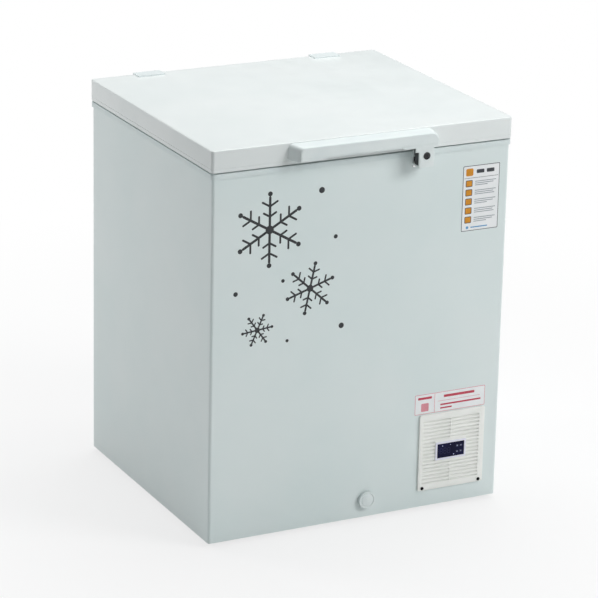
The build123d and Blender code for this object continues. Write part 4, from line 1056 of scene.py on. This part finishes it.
class FREEZER_OT_crystals(bpy.types.Operator):
    """Prints three plain snow crystals and their dots on the front's upper left"""

    bl_idname = "freezer.crystals"
    bl_label = "Snow crystals"

    def execute(self, context):
        thick = scene_settings().print_height
        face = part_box("outer_wrap")[0].y

        def bar(length, width, height):
            """A printed stroke from the middle of the crystal along X, with round ends."""
            stroke = plate("stroke", 0.0, length, -width / 2, width / 2, face, height)
            round_edges(stroke, 0.45 * width, 3, along_y)
            return stroke

        def turned(piece, degrees, shift=(0, 0, 0)):
            object_mode()
            piece.data.transform(Matrix.Translation(shift) @ Matrix.Rotation(radians(degrees), 4, "Y"))
            return piece

        # Where branches leave an arm and how long they are, as shares of the crystal's reach
        branch_places = ((0.34, 0.22), (0.6, 0.26))
        for name, x, z, reach, width, spin in (
            ("great_crystal", -212 * MM, 672 * MM, 82 * MM, 5.4 * MM, 0),
            ("middle_crystal", -118 * MM, 536 * MM, 58 * MM, 4.4 * MM, 12),
            ("small_crystal", -236 * MM, 462 * MM, 36 * MM, 3.4 * MM, 24),
        ):
            pieces = []
            for side in range(6):
                arm = [bar(0.86 * reach, width, thick)]
                for place, length in branch_places:
                    for lean in (-60, 60):
                        branch = bar(length * reach, 0.8 * width, 0.8 * thick)
                        arm.append(turned(branch, lean, (place * reach, 0, 0)))
                arm.append(round_bar("tip", 0.95 * width, face - 1.2 * thick, face, (0.92 * reach, 0), 28))
                pieces.append(turned(join(arm, "arm"), 60 * side + spin + 30))
            pieces.append(round_bar("heart", 1.7 * width, face - 1.4 * thick, face, (0, 0), 36))
            crystal = join(pieces, name)
            crystal.data.transform(Matrix.Translation((x, 0, z)))
            finish_piece(crystal, "cabinet", "charcoal_print", clean=False)

        dots = []
        for x, z, radius in (
            (-96, 742, 6.5), (-62, 640, 4.5), (-180, 560, 4), (-44, 446, 6), (-168, 430, 3.5), (-286, 545, 5),
        ):
            dot = round_bar("dot", radius * MM, face - thick, face, (x * MM, z * MM), 32)
            pick(dot, "FACE", faces_front)
            bpy.ops.mesh.inset(thickness=0.6 * MM)
            dots.append(dot)
        finish_piece(join(dots, "snow_dots"), "cabinet", "charcoal_print", clean=False)
        return {"FINISHED"}


class FREEZER_OT_drain_cap(bpy.types.Operator):
    """Models the drain cap: a rounded disc with a sunk ring, a finger bar and its plug"""

    bl_idname = "freezer.drain_cap"
    bl_label = "Drain cap"

    def execute(self, context):
        low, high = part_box("drain_cap")
        x, z = centre_of("drain_cap")
        back = low.y + 6 * MM
        cap = round_bar("drain_cap_disc", 18.5 * MM, low.y, back, (x, z), 72)
        pick(cap, "FACE", faces_front)
        bpy.ops.mesh.inset(thickness=3.2 * MM)
        extrude_y(1.1 * MM)
        bpy.ops.mesh.inset(thickness=3.0 * MM)
        extrude_y(-0.9 * MM)
        round_edges(cap, 0.45 * MM, 2, lambda middle, along: abs(along.y) < 0.1 and middle.y < low.y + 2 * MM)
        half_width, half_length, bar_back = 1.6 * MM, 11.5 * MM, low.y + 2 * MM
        bar = block(
            "finger_bar",
            (x - half_width, low.y, z - half_length),
            (x + half_width, bar_back, z + half_length),
        )
        round_edges(bar, 0.5 * MM, 2, lambda middle, along: abs(along.y) > 0.9 or middle.y < low.y + 0.5 * MM)
        stem = round_bar("cap_stem", 5.7 * MM, back - MM, high.y, (x, z), 40)
        round_edges(stem, 1.0 * MM, 3, lambda middle, along: middle.y > high.y - 0.1 * MM)
        cap = join([cap, bar, stem], "drain_cap_disc")
        finish_piece(cap, "drain_cap", "white_abs", ["drain_cap"], clean=False)
        return {"FINISHED"}


class FREEZER_OT_screws(bpy.types.Operator):
    """Models a pan head screw with a cross recess for every screw that shows"""

    bl_idname = "freezer.screws"
    bl_label = "Screws"

    head_height = 1.8 * MM

    def execute(self, context):
        grille_low, grille_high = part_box("front_grille")
        lid_low, lid_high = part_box("lid_shell")
        rear_low, rear_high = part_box("rear_panel")
        body_low, body_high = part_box("hinge_body_right")
        arm_low, arm_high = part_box("hinge_arm_right")
        striker_x = centre_of("lock_striker")[0]
        striker_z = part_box("lock_striker")[0].z + 10 * MM

        rear_x = rear_high.x - 5 * MM
        first_row, last_row, row_count = rear_low.z + 20 * MM, rear_high.z - 37 * MM, 5
        row_pitch = (last_row - first_row) / (row_count - 1)
        rear_rows = [first_row + row * row_pitch for row in range(row_count)]
        hinge_inset = 7 * MM
        hinge_x = (body_low.x + hinge_inset, body_high.x - hinge_inset)
        hinge_z = (body_low.z + 15 * MM, rear_high.z - 25 * MM)
        arm_x, leaf_reach = centre_of("hinge_arm_right")[0], (arm_high.x - arm_low.x) / 3
        leaf_x = [x + reach for x in (-arm_x, arm_x) for reach in (-leaf_reach, leaf_reach)]
        leaf_z = lid_low.z + 0.66 * (lid_high.z - lid_low.z)
        grille_z = grille_low.z + 5.2 * MM

        # A head stands on the face that carries it; a screw node's box ends where its highest head ends
        rear_face = rear_high.y
        hinge_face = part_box("rear_screws")[1].y - self.head_height
        leaf_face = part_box("hinge_arm_screws")[1].y - self.head_height
        striker_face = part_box("striker_screws")[0].y + self.head_height

        rear = [(x, rear_face, z) for x in (-rear_x, rear_x) for z in rear_rows]
        for x in (-hinge_x[1], -hinge_x[0]) + hinge_x:
            rear += [(x, hinge_face, z) for z in hinge_z]
        leaf = [(x, leaf_face, leaf_z) for x in leaf_x]
        grille = [(x, grille_low.y, grille_z) for x in (grille_low.x + 10 * MM, grille_high.x - 10 * MM)]
        striker = [(striker_x + reach, striker_face, striker_z) for reach in (-10 * MM, 10 * MM)]
        for name, node, body, slot, places, outward, shank in (
            ("rear_screw_set", "rear_screws", "cabinet", "screw_steel", rear, 1, 8 * MM),
            ("leaf_screw_set", "hinge_arm_screws", "lid", "screw_steel", leaf, 1, 10 * MM),
            ("grille_screw_set", "grille_screws", "cabinet", "dark_screw", grille, -1, 12 * MM),
            ("striker_screw_set", "striker_screws", "cabinet", "screw_steel", striker, -1, 9 * MM),
        ):
            first = self.pan_screw(name, places[0], outward, shank)
            copies = [copy_of(first, name, Vector(place) - Vector(places[0])) for place in places[1:]]
            finish_piece(join([first] + copies, name), body, SLOT_FINISH[slot], [node], clean=False)
        return {"FINISHED"}

    def pan_screw(self, name, place, outward, shank):
        """One pan head screw along Y with a cross recess, its head standing on a place."""
        x, face, z = place
        head_radius, shank_radius = 3.6 * MM, 1.9 * MM
        head = round_bar(name, head_radius, face, face + outward * self.head_height, (x, z), 28)
        pick(head, "FACE", lambda middle, normal: normal.y * outward > 0.9)
        bpy.ops.mesh.inset(thickness=1.2 * MM)

        def rim(middle, along):
            reach = Vector((middle.x - x, middle.z - z)).length
            return abs(along.y) < 0.1 and (middle.y - face) * outward > 1.7 * MM and reach > 3 * MM

        # The rim drops, so that the head slopes down from its flat middle
        pick(head, "EDGE", rim)
        bpy.ops.transform.translate(value=(0, -outward * 0.7 * MM, 0))
        floor, above = sorted((face + outward * 0.5 * MM, face + outward * 3 * MM))
        for wide, tall in ((0.35 * MM, 1.6 * MM), (1.6 * MM, 0.35 * MM)):
            combine(head, block("recess", (x - wide, floor, z - tall), (x + wide, above, z + tall)))
        stem = round_bar("shank", shank_radius, face + outward * 0.1 * MM, face - outward * shank, (x, z), 16)
        return join([head, stem], name)


class FREEZER_OT_studio(bpy.types.Operator):
    """Adds the floor, the softboxes, the pale surround and the camera"""

    bl_idname = "freezer.studio"
    bl_label = "Set the studio"

    def execute(self, context):
        look = scene_settings()
        object_mode()
        bpy.ops.object.select_all(action="DESELECT")
        bpy.ops.mesh.primitive_plane_add(size=24.0, location=(0, 0, 0))
        floor = context.object
        floor.name = "studio_floor"
        paper = studio_floor("seamless_paper", look.floor_tint, lift=0.72, near=0.6, far=2.0)
        floor.data.materials.append(paper)
        self.surround(context)
        for name, place, aim, size, power in (
            ("front_softbox", (3.0, -3.4, 3.2), (0.05, 0.0, 0.5), 2.4, look.key_power),
            ("rear_left_softbox", (-1.7, 1.7, 1.5), (-0.3, 0.1, 0.5), 1.0, look.side_power),
            ("overhead_softbox", (0.6, 0.6, 3.6), (0.0, 0.0, 0.8), 2.6, look.top_power),
        ):
            bpy.ops.object.light_add(type="AREA", location=place)
            lamp = context.object
            lamp.name = name
            lamp.data.shape = "DISK"
            lamp.data.size = size
            lamp.data.energy = power
            lamp.rotation_euler = (Vector(aim) - Vector(place)).to_track_quat("-Z", "Y").to_euler()
        self.camera(context)
        context.scene.view_settings.view_transform = "Standard"
        return {"FINISHED"}

    def surround(self, context):
        """A dim cool light all round, seen as plain white by the camera and through glass."""
        world = bpy.data.worlds.new("pale_surround")
        context.scene.world = world
        world.use_nodes = True
        tree = world.node_tree
        tree.nodes.clear()
        rays = add_node(tree, "ShaderNodeLightPath").outputs
        seen = add_node(
            tree,
            "ShaderNodeMath",
            {"operation": "MAXIMUM"},
            links={0: rays["Is Camera Ray"], 1: rays["Is Transmission Ray"]},
        )
        cool, white = (0.95, 0.98, 1.0, 1.0), (1.0, 1.0, 1.0, 1.0)
        glow = add_node(tree, "ShaderNodeBackground", values={"Color": cool, "Strength": 0.24})
        plain = add_node(tree, "ShaderNodeBackground", values={"Color": white, "Strength": 1.0})
        both = add_node(
            tree,
            "ShaderNodeMixShader",
            links={0: seen.outputs[0], 1: glow.outputs["Background"], 2: plain.outputs["Background"]},
        )
        add_node(tree, "ShaderNodeOutputWorld", links={"Surface": both.outputs["Shader"]})

    def camera(self, context):
        """The photograph's view: 27 degrees to the left of the front, 19 degrees down, rolled by 1."""
        turn, rise, roll = radians(-27.113), radians(18.783), radians(1.250)
        place = (-2.81147314, -5.51498772, 2.50800348)
        bpy.ops.object.camera_add()
        camera = context.object
        camera.name = "studio_camera"
        camera.data.sensor_width = 36.0
        camera.data.lens = 183.279
        camera.data.clip_end = 60.0
        right = Vector((cos(turn), sin(turn), 0))
        toward = Vector((sin(turn) * cos(rise), -cos(turn) * cos(rise), sin(rise)))
        up = toward.cross(right)
        axes = (cos(roll) * right + sin(roll) * up, -sin(roll) * right + cos(roll) * up, toward)
        turned = Matrix(axes).transposed().to_4x4()
        camera.matrix_world = Matrix.Translation(place) @ turned
        context.scene.camera = camera


class FREEZER_PT_panel(bpy.types.Panel):
    """Lists the freezer's pieces"""

    bl_label = "Freezer"
    bl_idname = "FREEZER_PT_panel"
    bl_space_type = "VIEW_3D"
    bl_region_type = "UI"
    bl_category = "Freezer"

    def draw(self, context):
        for setting in FreezerDress.__annotations__:
            self.layout.prop(context.scene.freezer_dress, setting)
        for piece in PIECES:
            self.layout.operator(piece.bl_idname)


PIECES = [
    FREEZER_OT_finishes,
    FREEZER_OT_lid,
    FREEZER_OT_handle,
    FREEZER_OT_lock,
    FREEZER_OT_grille,
    FREEZER_OT_controller_marks,
    FREEZER_OT_stickers,
    FREEZER_OT_crystals,
    FREEZER_OT_drain_cap,
    FREEZER_OT_screws,
    FREEZER_OT_studio,
]
CLASSES = [FreezerDress] + PIECES + [FREEZER_PT_panel]


def register():
    """Registers the classes and hangs the settings on the scene."""
    for kind in CLASSES:
        bpy.utils.register_class(kind)
    bpy.types.Scene.freezer_dress = bpy.props.PointerProperty(type=FreezerDress)


def unregister():
    """Takes the settings and the classes away again."""
    del bpy.types.Scene.freezer_dress
    for kind in reversed(CLASSES):
        bpy.utils.unregister_class(kind)


def main():
    register()
    for piece in PIECES:
        group, name = piece.bl_idname.split(".")
        getattr(getattr(bpy.ops, group), name)()


if __name__ == "__main__":
    main()
